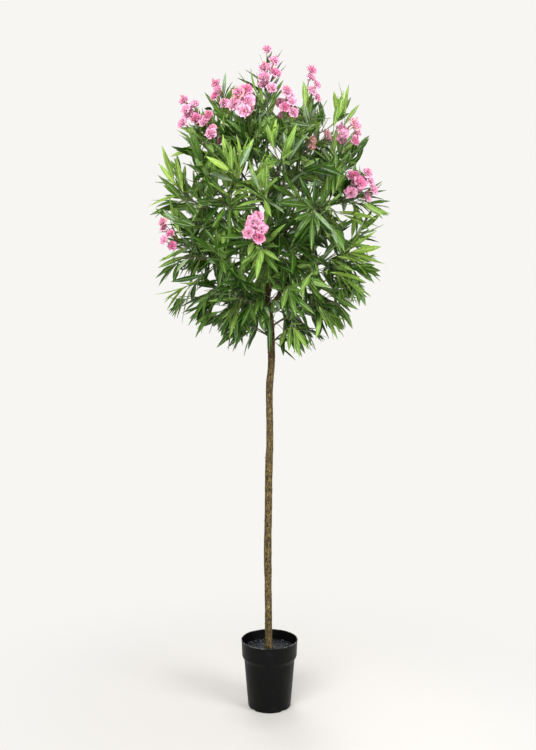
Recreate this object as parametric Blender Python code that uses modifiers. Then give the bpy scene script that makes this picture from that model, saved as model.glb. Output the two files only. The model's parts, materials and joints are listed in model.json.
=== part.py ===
"""Potted artificial oleander, grown as a standard: a plastic nursery pot with a heavy filling, a slender woody
trunk with boughs, and a full egg-shaped crown of leaves and blossom.

The crown is made of foliage masses. Each mass keeps to the space that lies nearer to its own axis than to any
other mass's axis. A mass that stands well out from the trunk is carried by a bough, and the others grow
straight from the trunk. Metres, +Z up, origin at the middle of the pot's flat underside, front towards -Y.
"""

import math
import random

import bmesh
import bpy
import numpy as np
from mathutils import Matrix, Vector
from mathutils.bvhtree import BVHTree
from mathutils.geometry import interpolate_bezier

# ---------------------------------------------------------------- pot and filling

CLEARANCE = 0.0003  # between solids that touch
MERGE = 0.0001

POT_HEIGHT = 0.241
RIM_RADIUS = 0.100
RIM_TAPER = 0.003  # how much narrower the rim band is at its foot
RIM_BAND_HEIGHT = 0.057  # the upright band under the rim
STEP_HEIGHT = 0.015  # the slope from the band in to the wall
WALL_TOP_RADIUS = 0.0892
BASE_RADIUS = 0.0755
BASE_EDGE = 0.003  # chamfer round the foot
POT_WALL = 0.0018
POT_STEPS = 32
BAND_FOOT = POT_HEIGHT - RIM_BAND_HEIGHT
WALL_TOP = BAND_FOOT - STEP_HEIGHT

DRAIN_COUNT = 4
DRAIN_FIRST_ANGLE = math.radians(40)  # from +X
DRAIN_WIDTH = 0.022
DRAIN_HEIGHT = 0.007
DRAIN_DEPTH = 0.016

FILL_TOP = POT_HEIGHT - 0.030
FILL_DOME = 0.004  # how far the filling stands higher in the middle than at the wall
FILL_SEAT_RADIUS = 0.022  # the flat that the trunk stands on
FILL_GAP = POT_WALL + CLEARANCE + 0.0002  # from the pot's outside to the filling

# ---------------------------------------------------------------- trunk and boughs

# The trunk's line from the filling up to its tip: height, sideways offset, depth offset, radius.
TRUNK_LINE = (
    (FILL_TOP + CLEARANCE, -0.0030, 0.0000, 0.0140),
    (0.245, -0.0030, 0.0000, 0.0127),
    (0.420, -0.0045, 0.0010, 0.0125),
    (0.560, -0.0062, 0.0020, 0.0134),
    (0.690, -0.0040, 0.0010, 0.0127),
    (0.850, -0.0022, -0.0010, 0.0130),
    (0.950, 0.0010, -0.0020, 0.0120),
    (1.090, -0.0002, 0.0000, 0.0120),
    (1.150, 0.0008, 0.0010, 0.0126),
    (1.215, 0.0065, 0.0015, 0.0120),
    (1.285, 0.0058, 0.0010, 0.0132),
    (1.380, 0.0015, 0.0000, 0.0122),
    (1.455, -0.0065, 0.0000, 0.0084),
    (1.580, -0.0085, 0.0030, 0.0072),
    (1.720, -0.0040, 0.0060, 0.0058),
    (1.880, -0.0080, 0.0080, 0.0044),
)
TRUNK_TOP = TRUNK_LINE[-1][0]
TRUNK_SPAN_STEPS = 2
TRUNK_BEVEL = 2
BOUGH_BEVEL = 1
BOUGH_TIP_RADIUS = 0.0034
LIMB_POINTS = 8
UPRIGHT_ABOVE = 1.85  # limbs whose tip is higher than this turn up more steeply

# Each mass: where its main stem ends, the height at which its limb leaves the trunk, the share of that limb
# which is a bough (0 for a stem straight from the trunk) and the limb's radius at its foot.
MASSES = {
    "crown_top": ((-0.006, 0.005, 2.150), TRUNK_TOP, 0.0, 0.0034),
    "high_left": ((-0.165, 0.020, 2.080), 1.740, 0.40, 0.0046),
    "high_front": ((-0.070, -0.130, 2.030), 1.790, 0.0, 0.0036),
    "high_front_right": ((0.085, -0.090, 2.050), 1.820, 0.0, 0.0036),
    "high_right": ((0.140, 0.035, 2.080), 1.500, 0.50, 0.0050),
    "high_back": ((0.060, 0.155, 2.050), 1.435, 0.55, 0.0052),
    "shoulder_left": ((-0.245, -0.050, 1.970), 1.640, 0.44, 0.0050),
    "shoulder_right": ((0.240, -0.020, 1.960), 1.405, 0.50, 0.0085),
    "shoulder_front": ((0.060, -0.240, 1.890), 1.700, 0.0, 0.0040),
    "shoulder_back": ((-0.130, 0.215, 1.910), 1.660, 0.42, 0.0050),
    "left_high": ((-0.300, 0.050, 1.790), 1.560, 0.44, 0.0054),
    "right_high": ((0.300, 0.000, 1.790), 1.600, 0.44, 0.0052),
    "front_left": ((-0.180, -0.230, 1.760), 1.610, 0.42, 0.0052),
    "front_right": ((0.190, -0.230, 1.740), 1.580, 0.42, 0.0054),
    "back_left": ((-0.190, 0.235, 1.700), 1.590, 0.42, 0.0052),
    "back_right": ((0.180, 0.230, 1.790), 1.620, 0.42, 0.0050),
    "front_middle": ((-0.030, -0.300, 1.600), 1.520, 0.0, 0.0042),
    "back_middle": ((-0.020, 0.300, 1.600), 1.500, 0.0, 0.0042),
    "left_middle": ((-0.290, -0.070, 1.580), 1.500, 0.0, 0.0042),
    "right_middle": ((0.290, 0.030, 1.580), 1.480, 0.0, 0.0042),
    "left_low": ((-0.215, 0.040, 1.430), 1.430, 0.0, 0.0038),
    "right_low": ((0.215, -0.080, 1.430), 1.345, 0.0, 0.0038),
    "front_low": ((-0.060, -0.215, 1.430), 1.390, 0.0, 0.0038),
    "back_low": ((-0.030, 0.215, 1.440), 1.410, 0.0, 0.0038),
    "lowest_right": ((0.080, -0.045, 1.330), 1.285, 0.0, 0.0032),
    "lowest_left": ((-0.090, 0.030, 1.345), 1.305, 0.0, 0.0032),
}

# ---------------------------------------------------------------- leaves and blossom

# The crown's outline, from its lowest leaf tip to the top: height and reach from the axis.
CROWN_OUTLINE = (
    (1.215, 0.060),
    (1.250, 0.150),
    (1.290, 0.225),
    (1.370, 0.320),
    (1.450, 0.385),
    (1.600, 0.395),
    (1.760, 0.405),
    (1.880, 0.380),
    (2.030, 0.330),
    (2.130, 0.300),
    (2.190, 0.250),
    (2.245, 0.140),
    (2.300, 0.030),
)
SHOOTS = 106  # leafy side shoots, set evenly over the crown
SHOOT_INSET = 0.088  # from the outline in to the shoots' tips
SHOOT_DEEPER = 0.72  # every third shoot ends at this share of the others' reach
SHOOT_LOWEST = 1.325
SHOOT_HIGHEST = 2.185
SHOOT_APART = 0.04  # a side shoot ends at least this far from its mass's tip
SHOOT_LEAST_REACH = 0.02

STEM_TIP_RADIUS = 0.0016
TWIG_RADIUS = 0.0018
TWIG_TIP_RADIUS = 0.0010
TWIG_LEAD = 0.75  # how far back down the stem a twig leaves it, as a share of its reach
TWIG_CLEAR_FROM = 0.2  # the share of a twig next to its stem that needs no room of its own
TWIG_ROOM = 0.003

WHORL_LEAVES = 3
WHORL_SPACING = 0.045
WHORL_STAGGER = 0.004  # along the twig from one leaf of a whorl to the next
WHORL_FROM_TIP = 0.003
WHORL_FROM_FOOT = 0.020
WHORLS_ON_TWIG = 2
END_LEAN = math.radians(32)  # leaves of the last whorl, from their twig
SIDE_LEAN = math.radians(60)

LEAF_LENGTH = 0.154
LEAF_WIDTH = 0.044
LEAF_WIDEST = 0.48  # where a leaf is widest, as a share of its length
LEAF_FOLD = 0.0032  # how far a leaf's edges fall below its midrib
LEAF_NECK = 0.16  # share of a leaf's length, next to its twig, which may pass close to other leaves
LEAF_TRIES = 13
LEAF_SWING = 0.30  # radians more at every second try
LEAF_SHORTEN = 0.025  # share of its length at each try
LEAF_DROOP = 1.15
LEAF_UPWARD = 0.5  # how much leaves turn their faces up
LEAF_ROLL = 0.5
DROOP_MIDDLE = 1.74  # height where leaves neither hang nor stand up
DROOP_SPAN = 0.40
DROOP_LIMITS = (-0.30, 0.85)

BLOSSOM_PETALS = 5
BLOSSOM_RADIUS = 0.022
BLOSSOM_REACH = 0.042  # from the shoot to a blossom's mouth
BLOSSOM_THROAT = 0.010  # depth of the mouth
BLOSSOM_LEAN = (math.radians(18), math.radians(90))
CLUSTER_DEPTH = 0.028  # along the shoot, from a cluster's first blossom to its last

# Each blossom cluster: its middle and how many blossoms it has.
CLUSTERS = (
    ((-0.009, 0.000, 2.195), 5),
    ((-0.005, 0.000, 2.280), 1),
    ((-0.175, -0.010, 2.140), 4),
    ((-0.089, -0.150, 2.080), 6),
    ((-0.270, -0.020, 2.070), 6),
    ((-0.203, -0.110, 2.004), 4),
    ((0.065, -0.090, 2.100), 5),
    ((0.147, 0.010, 2.170), 5),
    ((0.268, -0.020, 2.005), 6),
    ((0.315, -0.010, 1.825), 6),
    ((-0.048, -0.330, 1.662), 5),
    ((-0.340, -0.060, 1.655), 4),
    ((0.060, 0.180, 2.110), 5),
    ((-0.170, 0.230, 2.010), 5),
    ((0.230, 0.200, 1.900), 5),
    ((-0.240, 0.240, 1.740), 4),
    ((0.120, 0.310, 1.700), 5),
)

SPACE_MARGIN = 0.0015
LIMB_ROOM = 0.0012
GOLDEN_ANGLE = math.radians(137.5)
SEED = "oleander"
UP = Vector((0, 0, 1))


# ---------------------------------------------------------------- small helpers


def clear_scene():
    for obj in list(bpy.data.objects):
        bpy.data.objects.remove(obj)


def collection(name):
    made = bpy.data.collections.new(name)
    bpy.context.scene.collection.children.link(made)
    return made


def material(name, colour, roughness):
    made = bpy.data.materials.new(name)
    made.use_nodes = True
    shader = made.node_tree.nodes["Principled BSDF"]
    shader.inputs["Base Color"].default_value = (*colour, 1.0)
    shader.inputs["Roughness"].default_value = roughness
    shader.inputs["Metallic"].default_value = 0.0
    return made


def mesh_object(name, bm, group, mat=None):
    """A new object in the collection group that holds bm's mesh."""
    mesh = bpy.data.meshes.new(name)
    bm.to_mesh(mesh)
    bm.free()
    made = bpy.data.objects.new(name, mesh)
    group.objects.link(made)
    if mat:
        mesh.materials.append(mat)
    return made


def tube(name, points, radii, group, bevel=0):
    """A closed tube round the points, with a radius at each: a curve's mesh with its caps welded on."""
    curve = bpy.data.curves.new(name, "CURVE")
    curve.dimensions = "3D"
    curve.bevel_depth = 1.0
    curve.bevel_resolution = bevel
    curve.use_fill_caps = True
    spline = curve.splines.new("POLY")
    spline.points.add(len(points) - 1)
    for knot, place, radius in zip(spline.points, points, radii):
        knot.co = (*place, 1.0)
        knot.radius = radius
    swept = bpy.data.objects.new(name, curve)
    group.objects.link(swept)
    graph = bpy.context.evaluated_depsgraph_get()
    bm = bmesh.new()
    bm.from_mesh(bpy.data.meshes.new_from_object(swept.evaluated_get(graph)))
    bmesh.ops.remove_doubles(bm, verts=bm.verts, dist=MERGE / 10)
    bmesh.ops.recalc_face_normals(bm, faces=bm.faces)
    bpy.data.objects.remove(swept)
    return mesh_object(name, bm, group)


def boolean(obj, operation, operand):
    """Adds a Boolean modifier whose operand is an object or a collection."""
    modifier = obj.modifiers.new(operation.lower(), "BOOLEAN")
    modifier.operation = operation
    modifier.solver = "MANIFOLD"
    if isinstance(operand, bpy.types.Collection):
        modifier.operand_type = "COLLECTION"
        modifier.collection = operand
    else:
        modifier.object = operand


def apply_modifiers(obj):
    graph = bpy.context.evaluated_depsgraph_get()
    mesh = bpy.data.meshes.new_from_object(obj.evaluated_get(graph))
    obj.modifiers.clear()
    obj.data = mesh


def smooth_line(rows, steps):
    """Rows of numbers on a Catmull-Rom curve through the given rows, with steps spans between two of them."""
    knots = np.array([rows[0], *rows, rows[-1]], float)
    made = []
    for a, b, c, d in zip(knots, knots[1:], knots[2:], knots[3:]):
        for t in np.arange(steps) / steps:
            bend = (2 * a - 5 * b + 4 * c - d) * t**2 + (3 * b - a - 3 * c + d) * t**3
            made.append(0.5 * (2 * b + (c - a) * t + bend))
    made.append(knots[-1])
    return np.array(made)


def tapered(count, first, last):
    return [first + (last - first) * i / (count - 1) for i in range(count)]


def frame_towards(direction, up):
    """A rotation whose Z is the direction and whose Y is as near to up as it can be."""
    z = direction.normalized()
    x = up.cross(z)
    if x.length < MERGE:
        x = Vector((1, 0, 0)).cross(z)
    x.normalize()
    return Matrix((x, z.cross(x), z)).transposed().to_4x4()


def around(axis, angle, lean):
    """A direction at an angle round an axis, leaning away from the axis by lean."""
    flat = math.sin(lean)
    local = Vector((flat * math.cos(angle), flat * math.sin(angle), math.cos(lean)))
    return frame_towards(axis, UP).to_3x3() @ local


# ---------------------------------------------------------------- pot and filling


def turned(name, profile, group, mat):
    """A solid of revolution about Z. Its profile starts on the axis and ends on it, down its outer side."""
    bm = bmesh.new()
    corners = [bm.verts.new((radius, 0.0, height)) for radius, height in profile]
    for a, b in zip(corners, corners[1:]):
        bm.edges.new((a, b))
    made = mesh_object(name, bm, group, mat)
    screw = made.modifiers.new("turn", "SCREW")
    screw.steps = screw.render_steps = POT_STEPS
    screw.use_merge_vertices = True
    screw.merge_threshold = MERGE
    return made


def wall_radius(height):
    """The pot's outer radius on its tapered wall."""
    return BASE_RADIUS + (WALL_TOP_RADIUS - BASE_RADIUS) * height / WALL_TOP


def make_pot(group, cutters, mat):
    inner = [
        (0.0, POT_WALL),
        (wall_radius(POT_WALL) - POT_WALL, POT_WALL),
        (WALL_TOP_RADIUS - POT_WALL, WALL_TOP),
        (RIM_RADIUS - RIM_TAPER - POT_WALL, BAND_FOOT),
        (RIM_RADIUS - POT_WALL, POT_HEIGHT),
    ]
    outer = [
        (RIM_RADIUS, POT_HEIGHT),
        (RIM_RADIUS - RIM_TAPER, BAND_FOOT),
        (WALL_TOP_RADIUS, WALL_TOP),
        (wall_radius(BASE_EDGE), BASE_EDGE),
        (BASE_RADIUS - BASE_EDGE, 0.0),
        (0.0, 0.0),
    ]
    pot = turned("pot", inner + outer, group, mat)
    for i in range(DRAIN_COUNT):
        angle = DRAIN_FIRST_ANGLE + i * math.tau / DRAIN_COUNT
        bm = bmesh.new()
        bmesh.ops.create_cube(bm, size=1.0)
        bmesh.ops.scale(bm, vec=(DRAIN_DEPTH, DRAIN_WIDTH, 2 * DRAIN_HEIGHT), verts=bm.verts)
        cutter = mesh_object(f"drain_cutter_{i + 1}", bm, cutters)
        cutter.location = (BASE_RADIUS * math.cos(angle), BASE_RADIUS * math.sin(angle), 0.0)
        cutter.rotation_euler.z = angle
    boolean(pot, "DIFFERENCE", cutters)


def make_filling(group, mat):
    """The heavy filling that holds the trunk: it fits the pot's wall and its top is a little domed."""
    edge = FILL_TOP - FILL_DOME
    edge_radius = RIM_RADIUS - RIM_TAPER * (POT_HEIGHT - edge) / RIM_BAND_HEIGHT
    floor = POT_WALL + CLEARANCE
    profile = [
        (0.0, FILL_TOP),
        (FILL_SEAT_RADIUS, FILL_TOP),
        (0.6 * RIM_RADIUS, FILL_TOP - 0.3 * FILL_DOME),
        (edge_radius - FILL_GAP, edge),
        (RIM_RADIUS - RIM_TAPER - FILL_GAP, BAND_FOOT),
        (WALL_TOP_RADIUS - FILL_GAP, WALL_TOP),
        (wall_radius(floor) - FILL_GAP, floor),
        (0.0, floor),
    ]
    turned("filling", profile, group, mat)


# ---------------------------------------------------------------- trunk, boughs and stems


def trunk_rows():
    """The trunk's centreline and radius, as rows of x, y, z and radius."""
    return smooth_line([(x, y, z, radius) for z, x, y, radius in TRUNK_LINE], TRUNK_SPAN_STEPS)


def make_trunk(rows, group, cutters, mat):
    """The trunk, and a sleeve thicker by the clearance, which trims what grows from the trunk."""
    points = [Vector(row[:3]) for row in rows]
    trunk = tube("trunk", points, rows[:, 3], group, TRUNK_BEVEL)
    trunk.data.materials.append(mat)
    sleeve = tube("trunk_sleeve", points, rows[:, 3] + CLEARANCE, cutters, TRUNK_BEVEL)
    return trunk, sleeve


def limb_path(tip, root_height, rows):
    """The line from the trunk's centre to a mass's tip: a Bezier curve that leaves the trunk outwards."""
    root = Vector([float(np.interp(root_height, rows[:, 2], rows[:, i])) for i in range(3)])
    if root_height >= TRUNK_TOP:
        root.z += CLEARANCE
    tip = Vector(tip)
    out = Vector((tip.x - root.x, tip.y - root.y, 0.0))
    rise = tip.z - root.z
    if tip.z > UPRIGHT_ABOVE:
        first = root + 0.45 * out + 0.30 * rise * UP
        second = root + 0.92 * out + 0.58 * rise * UP
    else:
        first = root + 0.30 * out + (0.42 * rise + 0.012) * UP
        second = root + 0.68 * out + (0.85 * rise + 0.018) * UP
    return interpolate_bezier(root, first, second, tip, LIMB_POINTS)


def split_limb(path, share):
    """(bough's points, stem's points): the limb's line, parted by a clear gap at a share of its points."""
    if share == 0:
        return [], list(path)
    at = round(share * (len(path) - 1))
    ahead = (path[at + 1] - path[at]).normalized()
    return list(path[: at + 1]), [path[at] + CLEARANCE * ahead, *path[at + 1 :]]


def make_bough(name, points, foot_radius, sleeve, group, mat):
    radii = tapered(len(points), foot_radius, BOUGH_TIP_RADIUS)
    bough = tube(f"bough_{name}", points, radii, group, BOUGH_BEVEL)
    bough.data.materials.append(mat)
    boolean(bough, "DIFFERENCE", sleeve)
    return bough


# ---------------------------------------------------------------- spaces


class Spaces:
    """The space of each mass: what lies nearer to its own axis than to any other, clear of every limb."""

    def __init__(self, axes, limbs):
        self.names = list(axes)
        self.starts = [np.array([tuple(p) for p in axes[name][:-1]]) for name in self.names]
        self.ends = [np.array([tuple(p) for p in axes[name][1:]]) for name in self.names]
        self.limbs = limbs

    def distances(self, points):
        """Each point's distance to each mass's axis, a row for each point."""
        places = np.array([tuple(p) for p in points])
        columns = []
        for a, b in zip(self.starts, self.ends):
            along = b - a
            rel = places[:, None, :] - a
            share = np.clip((rel * along).sum(2) / (along**2).sum(1), 0, 1)
            columns.append(np.linalg.norm(rel - share[:, :, None] * along, axis=2).min(1))
        return np.array(columns).T

    def owner(self, point):
        """The name of the mass whose axis is nearest to a point."""
        return self.names[int(self.distances([point])[0].argmin())]

    def holds(self, name, bm):
        """True if the shape stays in the crown and in the mass's space, and touches no limb."""
        if any(math.hypot(v.co.x, v.co.y) > crown_reach(v.co.z) for v in bm.verts):
            return False
        points = [v.co for v in bm.verts]
        points += [e.verts[0].co.lerp(e.verts[1].co, t) for e in bm.edges for t in (0.25, 0.5, 0.75)]
        apart = self.distances(points)
        own = self.names.index(name)
        others = np.delete(apart, own, axis=1).min(1)
        if (apart[:, own] + SPACE_MARGIN > others).any():
            return False
        return not BVHTree.FromBMesh(bm).overlap(self.limbs)


def crown_reach(height):
    """The crown's outline: how far from the axis its leaves reach at a height."""
    heights, reaches = zip(*CROWN_OUTLINE)
    return float(np.interp(height, heights, reaches, left=0.0, right=reaches[-1]))


def limb_tree(objects):
    """One search tree over the limbs' surfaces, each swollen a little."""
    bm = bmesh.new()
    for obj in objects:
        bm.from_mesh(obj.data)
    bmesh.ops.recalc_face_normals(bm, faces=bm.faces)
    bm.normal_update()
    for vert in bm.verts:
        vert.co += vert.normal * LIMB_ROOM
    return BVHTree.FromBMesh(bm)


# ---------------------------------------------------------------- shapes of the foliage


def leaf_shape(root, direction, facing, length, neck=0.0):
    """A leaf folded along its midrib: the hull of its ends and edges. A neck leaves out a share at its root."""
    side, across = LEAF_WIDTH / 2, LEAF_WIDEST * length
    corners = ((0, 0, neck * length), (0, 0, length), (-side, -LEAF_FOLD, across), (side, -LEAF_FOLD, across))
    place = Matrix.Translation(root) @ frame_towards(direction, facing)
    bm = bmesh.new()
    for corner in corners:
        bm.verts.new(place @ Vector(corner))
    bmesh.ops.convex_hull(bm, input=bm.verts)
    bmesh.ops.recalc_face_normals(bm, faces=bm.faces)
    return bm


def blossom_shape(root, direction, turn):
    """A blossom as a funnel from its root on the shoot to five petal tips round a sunken throat."""
    bm = bmesh.new()
    bmesh.ops.create_cone(
        bm, cap_ends=True, segments=BLOSSOM_PETALS, radius1=0.0, radius2=BLOSSOM_RADIUS, depth=BLOSSOM_REACH
    )
    bmesh.ops.remove_doubles(bm, verts=bm.verts, dist=MERGE)
    mouth = max(bm.faces, key=lambda face: len(face.verts))
    throat = bmesh.ops.poke(bm, faces=[mouth])["verts"][0]
    throat.co.z -= BLOSSOM_THROAT
    to_root = Matrix.Translation((0, 0, BLOSSOM_REACH / 2))
    place = Matrix.Translation(root) @ frame_towards(direction, UP) @ Matrix.Rotation(turn, 4, "Z") @ to_root
    bmesh.ops.transform(bm, matrix=place, verts=bm.verts)
    bmesh.ops.recalc_face_normals(bm, faces=bm.faces)
    return bm


def twig_shape(foot, tip, foot_radius, tip_radius):
    """A three-sided tapering rod."""
    along = tip - foot
    bm = bmesh.new()
    bmesh.ops.create_cone(
        bm, cap_ends=True, segments=3, radius1=foot_radius, radius2=tip_radius, depth=along.length
    )
    place = Matrix.Translation(foot.lerp(tip, 0.5)) @ frame_towards(along, UP)
    bmesh.ops.transform(bm, matrix=place, verts=bm.verts)
    return bm


# ---------------------------------------------------------------- how the foliage grows


def shoot_tips():
    """The tips of the side shoots: spread by area over a surface a little inside the crown's outline."""
    heights = np.linspace(SHOOT_LOWEST, SHOOT_HIGHEST, 200)
    reaches = np.array([max(SHOOT_LEAST_REACH, crown_reach(z) - SHOOT_INSET) for z in heights])
    area = np.cumsum(reaches * np.hypot(1, np.gradient(reaches, heights)))
    made = []
    for i in range(SHOOTS):
        at = area[0] + (area[-1] - area[0]) * (i + 0.5) / SHOOTS
        height, reach = (float(np.interp(at, area, column)) for column in (heights, reaches))
        if i % 3 == 0:
            reach *= SHOOT_DEEPER
        angle = i * GOLDEN_ANGLE
        made.append(Vector((reach * math.cos(angle), reach * math.sin(angle), height)))
    return made


def twig_foot(stem, tip):
    """Where on the stem the twig to a tip grows: back down the stem from the point nearest to the tip."""
    dense = [a.lerp(b, t / 8) for a, b in zip(stem, stem[1:]) for t in range(8)]
    nearest = min(range(len(dense)), key=lambda i: (dense[i] - tip).length)
    step = (dense[1] - dense[0]).length
    back = int(TWIG_LEAD * (dense[nearest] - tip).length / step)
    return dense[max(8, nearest - back)]


def whorl_sites(line, most):
    """Where the whorls sit along a line of points, counted from its tip: place, axis and lean."""
    lengths = np.cumsum([0.0] + [(b - a).length for a, b in zip(line, line[1:])])
    made = []
    for i in range(most):
        along = float(lengths[-1]) - WHORL_FROM_TIP - i * WHORL_SPACING
        if along < WHORL_FROM_FOOT:
            break
        low = max(0, int(np.searchsorted(lengths, along)) - 1)
        axis = (line[low + 1] - line[low]).normalized()
        place = line[low] + axis * (along - float(lengths[low]))
        made.append((place, axis, END_LEAN if i == 0 else SIDE_LEAN))
    return made


def droop_at(height):
    """How strongly leaves hang at a height: positive low in the crown, negative at its top."""
    low, high = DROOP_LIMITS
    return min(high, max(low, (DROOP_MIDDLE - height) / DROOP_SPAN))


def grow_leaf(name, place, axis, angle, lean, spaces, others, rng):
    """A leaf's mesh, turned and shortened until it stays in its space and clear of the others, or None."""
    for attempt in range(LEAF_TRIES):
        swing = (attempt + 1) // 2 * (LEAF_SWING if attempt % 2 else -LEAF_SWING)
        direction = around(axis, angle + swing, lean * rng.uniform(0.75, 1.25))
        direction.z -= LEAF_DROOP * droop_at(place.z)
        facing = axis + LEAF_UPWARD * UP + LEAF_ROLL * Vector([rng.uniform(-1, 1) for _ in range(3)])
        length = LEAF_LENGTH * rng.uniform(0.92, 1.06) * (1.0 - LEAF_SHORTEN * attempt)
        blade = leaf_shape(place, direction, facing, length, LEAF_NECK)
        tree = BVHTree.FromBMesh(blade)
        blade.free()
        if any(tree.overlap(other) for other in others):
            continue
        leaf = leaf_shape(place, direction, facing, length)
        if spaces.holds(name, leaf):
            others.append(tree)
            return leaf
        leaf.free()
    return None


def grow_cluster(name, tip, axis, count, spaces, others, parts, rng):
    """The blossoms of one cluster round the end of a shoot."""
    for i in range(count):
        low, high = BLOSSOM_LEAN
        lean = 0.0 if count == 1 else low + (high - low) * i / count
        direction = around(axis, i * GOLDEN_ANGLE, lean)
        foot = tip - axis * (WHORL_FROM_TIP + CLUSTER_DEPTH * i / count)
        blossom = blossom_shape(foot, direction, rng.random() * math.tau)
        if spaces.holds(name, blossom):
            others.append(BVHTree.FromBMesh(blossom))
            mesh_object("blossom", blossom, parts)
        else:
            blossom.free()


def grow_twig(name, foot, tip, spaces, parts):
    """True if there was room for the twig: none where it would leave its space or touch a limb."""
    probe = twig_shape(foot.lerp(tip, TWIG_CLEAR_FROM), tip, TWIG_ROOM, TWIG_ROOM)
    clear = spaces.holds(name, probe)
    probe.free()
    if clear:
        mesh_object("twig", twig_shape(foot, tip, TWIG_RADIUS, TWIG_TIP_RADIUS), parts)
    return clear


def make_mass(name, stem, foot_radius, tips, clusters, spaces, group, mat):
    """One foliage mass: its stem, side twigs, leaves and blossoms, fused into one solid."""
    rng = random.Random(f"{SEED} {name}")
    parts = collection(f"parts_of_{name}")
    mass = tube(f"foliage_{name}", stem, tapered(len(stem), foot_radius, STEM_TIP_RADIUS), group)
    stem_whorls = round((stem[-1] - stem[0]).length / WHORL_SPACING / 2)
    branches = [(stem, max(2, stem_whorls))]
    others = []
    for middle, count in clusters:
        foot = twig_foot(stem, middle)
        axis = (middle - foot).normalized()
        tip = middle - axis * BLOSSOM_REACH / 2
        if grow_twig(name, foot, tip, spaces, parts):
            grow_cluster(name, tip, axis, count, spaces, others, parts, rng)
            if count > 1:
                branches.append(([foot, tip - axis * CLUSTER_DEPTH], 1))
    for tip in tips:
        foot = twig_foot(stem, tip)
        if (tip - stem[-1]).length > SHOOT_APART and grow_twig(name, foot, tip, spaces, parts):
            branches.append(([foot, tip], WHORLS_ON_TWIG))
    for line, most in branches:
        for place, axis, lean in whorl_sites(line, most):
            turn = rng.random() * math.tau
            for i in range(WHORL_LEAVES):
                root = place - axis * i * WHORL_STAGGER
                angle = turn + i * math.tau / WHORL_LEAVES
                leaf = grow_leaf(name, root, axis, angle, lean, spaces, others, rng)
                if leaf:
                    mesh_object("leaf", leaf, parts)
    boolean(mass, "UNION", parts)
    apply_modifiers(mass)
    for obj in list(parts.objects):
        bpy.data.objects.remove(obj)
    bpy.data.collections.remove(parts)
    mass.data.materials.clear()
    mass.data.materials.append(mat)
    return mass


def main():
    clear_scene()
    plant = collection("potted_oleander")
    drains = collection("drain_cutters")
    sleeves = collection("trunk_cutters")
    plastic = material("black_plastic", (0.012, 0.012, 0.013), 0.45)
    cement = material("dark_filling", (0.020, 0.022, 0.025), 0.70)
    bark = material("bark", (0.16, 0.11, 0.065), 0.85)
    foliage = material("foliage", (0.055, 0.16, 0.03), 0.50)

    make_pot(plant, drains, plastic)
    make_filling(plant, cement)
    rows = trunk_rows()
    trunk, sleeve = make_trunk(rows, plant, sleeves, bark)

    axes, stems, boughs = {}, {}, []
    for name, (tip, root_height, share, foot_radius) in MASSES.items():
        axes[name] = limb_path(tip, root_height, rows)
        bough_points, stems[name] = split_limb(axes[name], share)
        if bough_points:
            boughs.append(make_bough(name, bough_points, foot_radius, sleeve, plant, bark))

    spaces = Spaces(axes, limb_tree([trunk, *boughs]))
    tips = {name: [] for name in MASSES}
    for tip in shoot_tips():
        tips[spaces.owner(tip)].append(tip)
    clusters = {name: [] for name in MASSES}
    for middle, count in CLUSTERS:
        clusters[spaces.owner(middle)].append((Vector(middle), count))

    for name, (_, root_height, share, foot_radius) in MASSES.items():
        stem_radius = BOUGH_TIP_RADIUS if share else foot_radius
        mass = make_mass(name, stems[name], stem_radius, tips[name], clusters[name], spaces, plant, foliage)
        if not share and root_height < TRUNK_TOP:
            boolean(mass, "DIFFERENCE", sleeve)
    for group in (drains, sleeves):
        for obj in group.objects:
            obj.hide_render = True
            obj.display_type = "WIRE"


main()
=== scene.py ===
"""The looks of the potted artificial oleander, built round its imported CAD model. Metres, +Z up, front at -Y.

The crown grows by the rule of the part's source: each foliage mass has a limb from the trunk, side shoots
are spread evenly over the crown, and blossom clusters stand at their places. Here every shoot also bears
finer twigs, and the leaves and blossoms have their real size.
"""

import json
import math
import random
from collections import namedtuple

import bmesh
import bpy
import numpy as np
from mathutils import Matrix, Vector, noise
from mathutils.geometry import interpolate_bezier

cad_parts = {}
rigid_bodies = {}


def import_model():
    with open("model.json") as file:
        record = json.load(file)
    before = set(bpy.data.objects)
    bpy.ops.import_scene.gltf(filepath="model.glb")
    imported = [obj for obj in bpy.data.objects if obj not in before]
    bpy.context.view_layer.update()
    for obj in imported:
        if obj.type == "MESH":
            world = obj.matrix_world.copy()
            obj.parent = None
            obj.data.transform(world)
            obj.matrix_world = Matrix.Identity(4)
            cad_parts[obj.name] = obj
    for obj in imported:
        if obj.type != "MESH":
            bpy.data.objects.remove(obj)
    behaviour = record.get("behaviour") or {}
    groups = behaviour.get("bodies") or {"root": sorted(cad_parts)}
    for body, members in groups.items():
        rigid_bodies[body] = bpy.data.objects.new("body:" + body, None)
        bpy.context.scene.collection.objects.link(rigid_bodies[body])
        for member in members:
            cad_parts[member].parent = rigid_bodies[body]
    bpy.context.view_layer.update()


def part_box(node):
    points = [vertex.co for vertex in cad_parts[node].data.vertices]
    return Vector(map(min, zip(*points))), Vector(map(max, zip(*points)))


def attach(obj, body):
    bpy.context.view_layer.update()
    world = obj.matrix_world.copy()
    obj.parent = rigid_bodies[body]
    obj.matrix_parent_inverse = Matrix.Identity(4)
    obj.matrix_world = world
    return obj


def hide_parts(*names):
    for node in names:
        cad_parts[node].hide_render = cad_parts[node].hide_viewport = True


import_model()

SEED = "oleander"
UP = Vector((0, 0, 1))
GOLDEN_ANGLE = math.radians(137.5)
TINY = 1e-6

# ---------------------------------------------------------------- camera, stage and light

CAMERA_PLACE = (-0.0052, -3.2, 1.432)
CAMERA_TILT = math.radians(85.5)  # up from straight down
CAMERA_LENS = 44.4
CAMERA_SENSOR = 36.0

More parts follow.
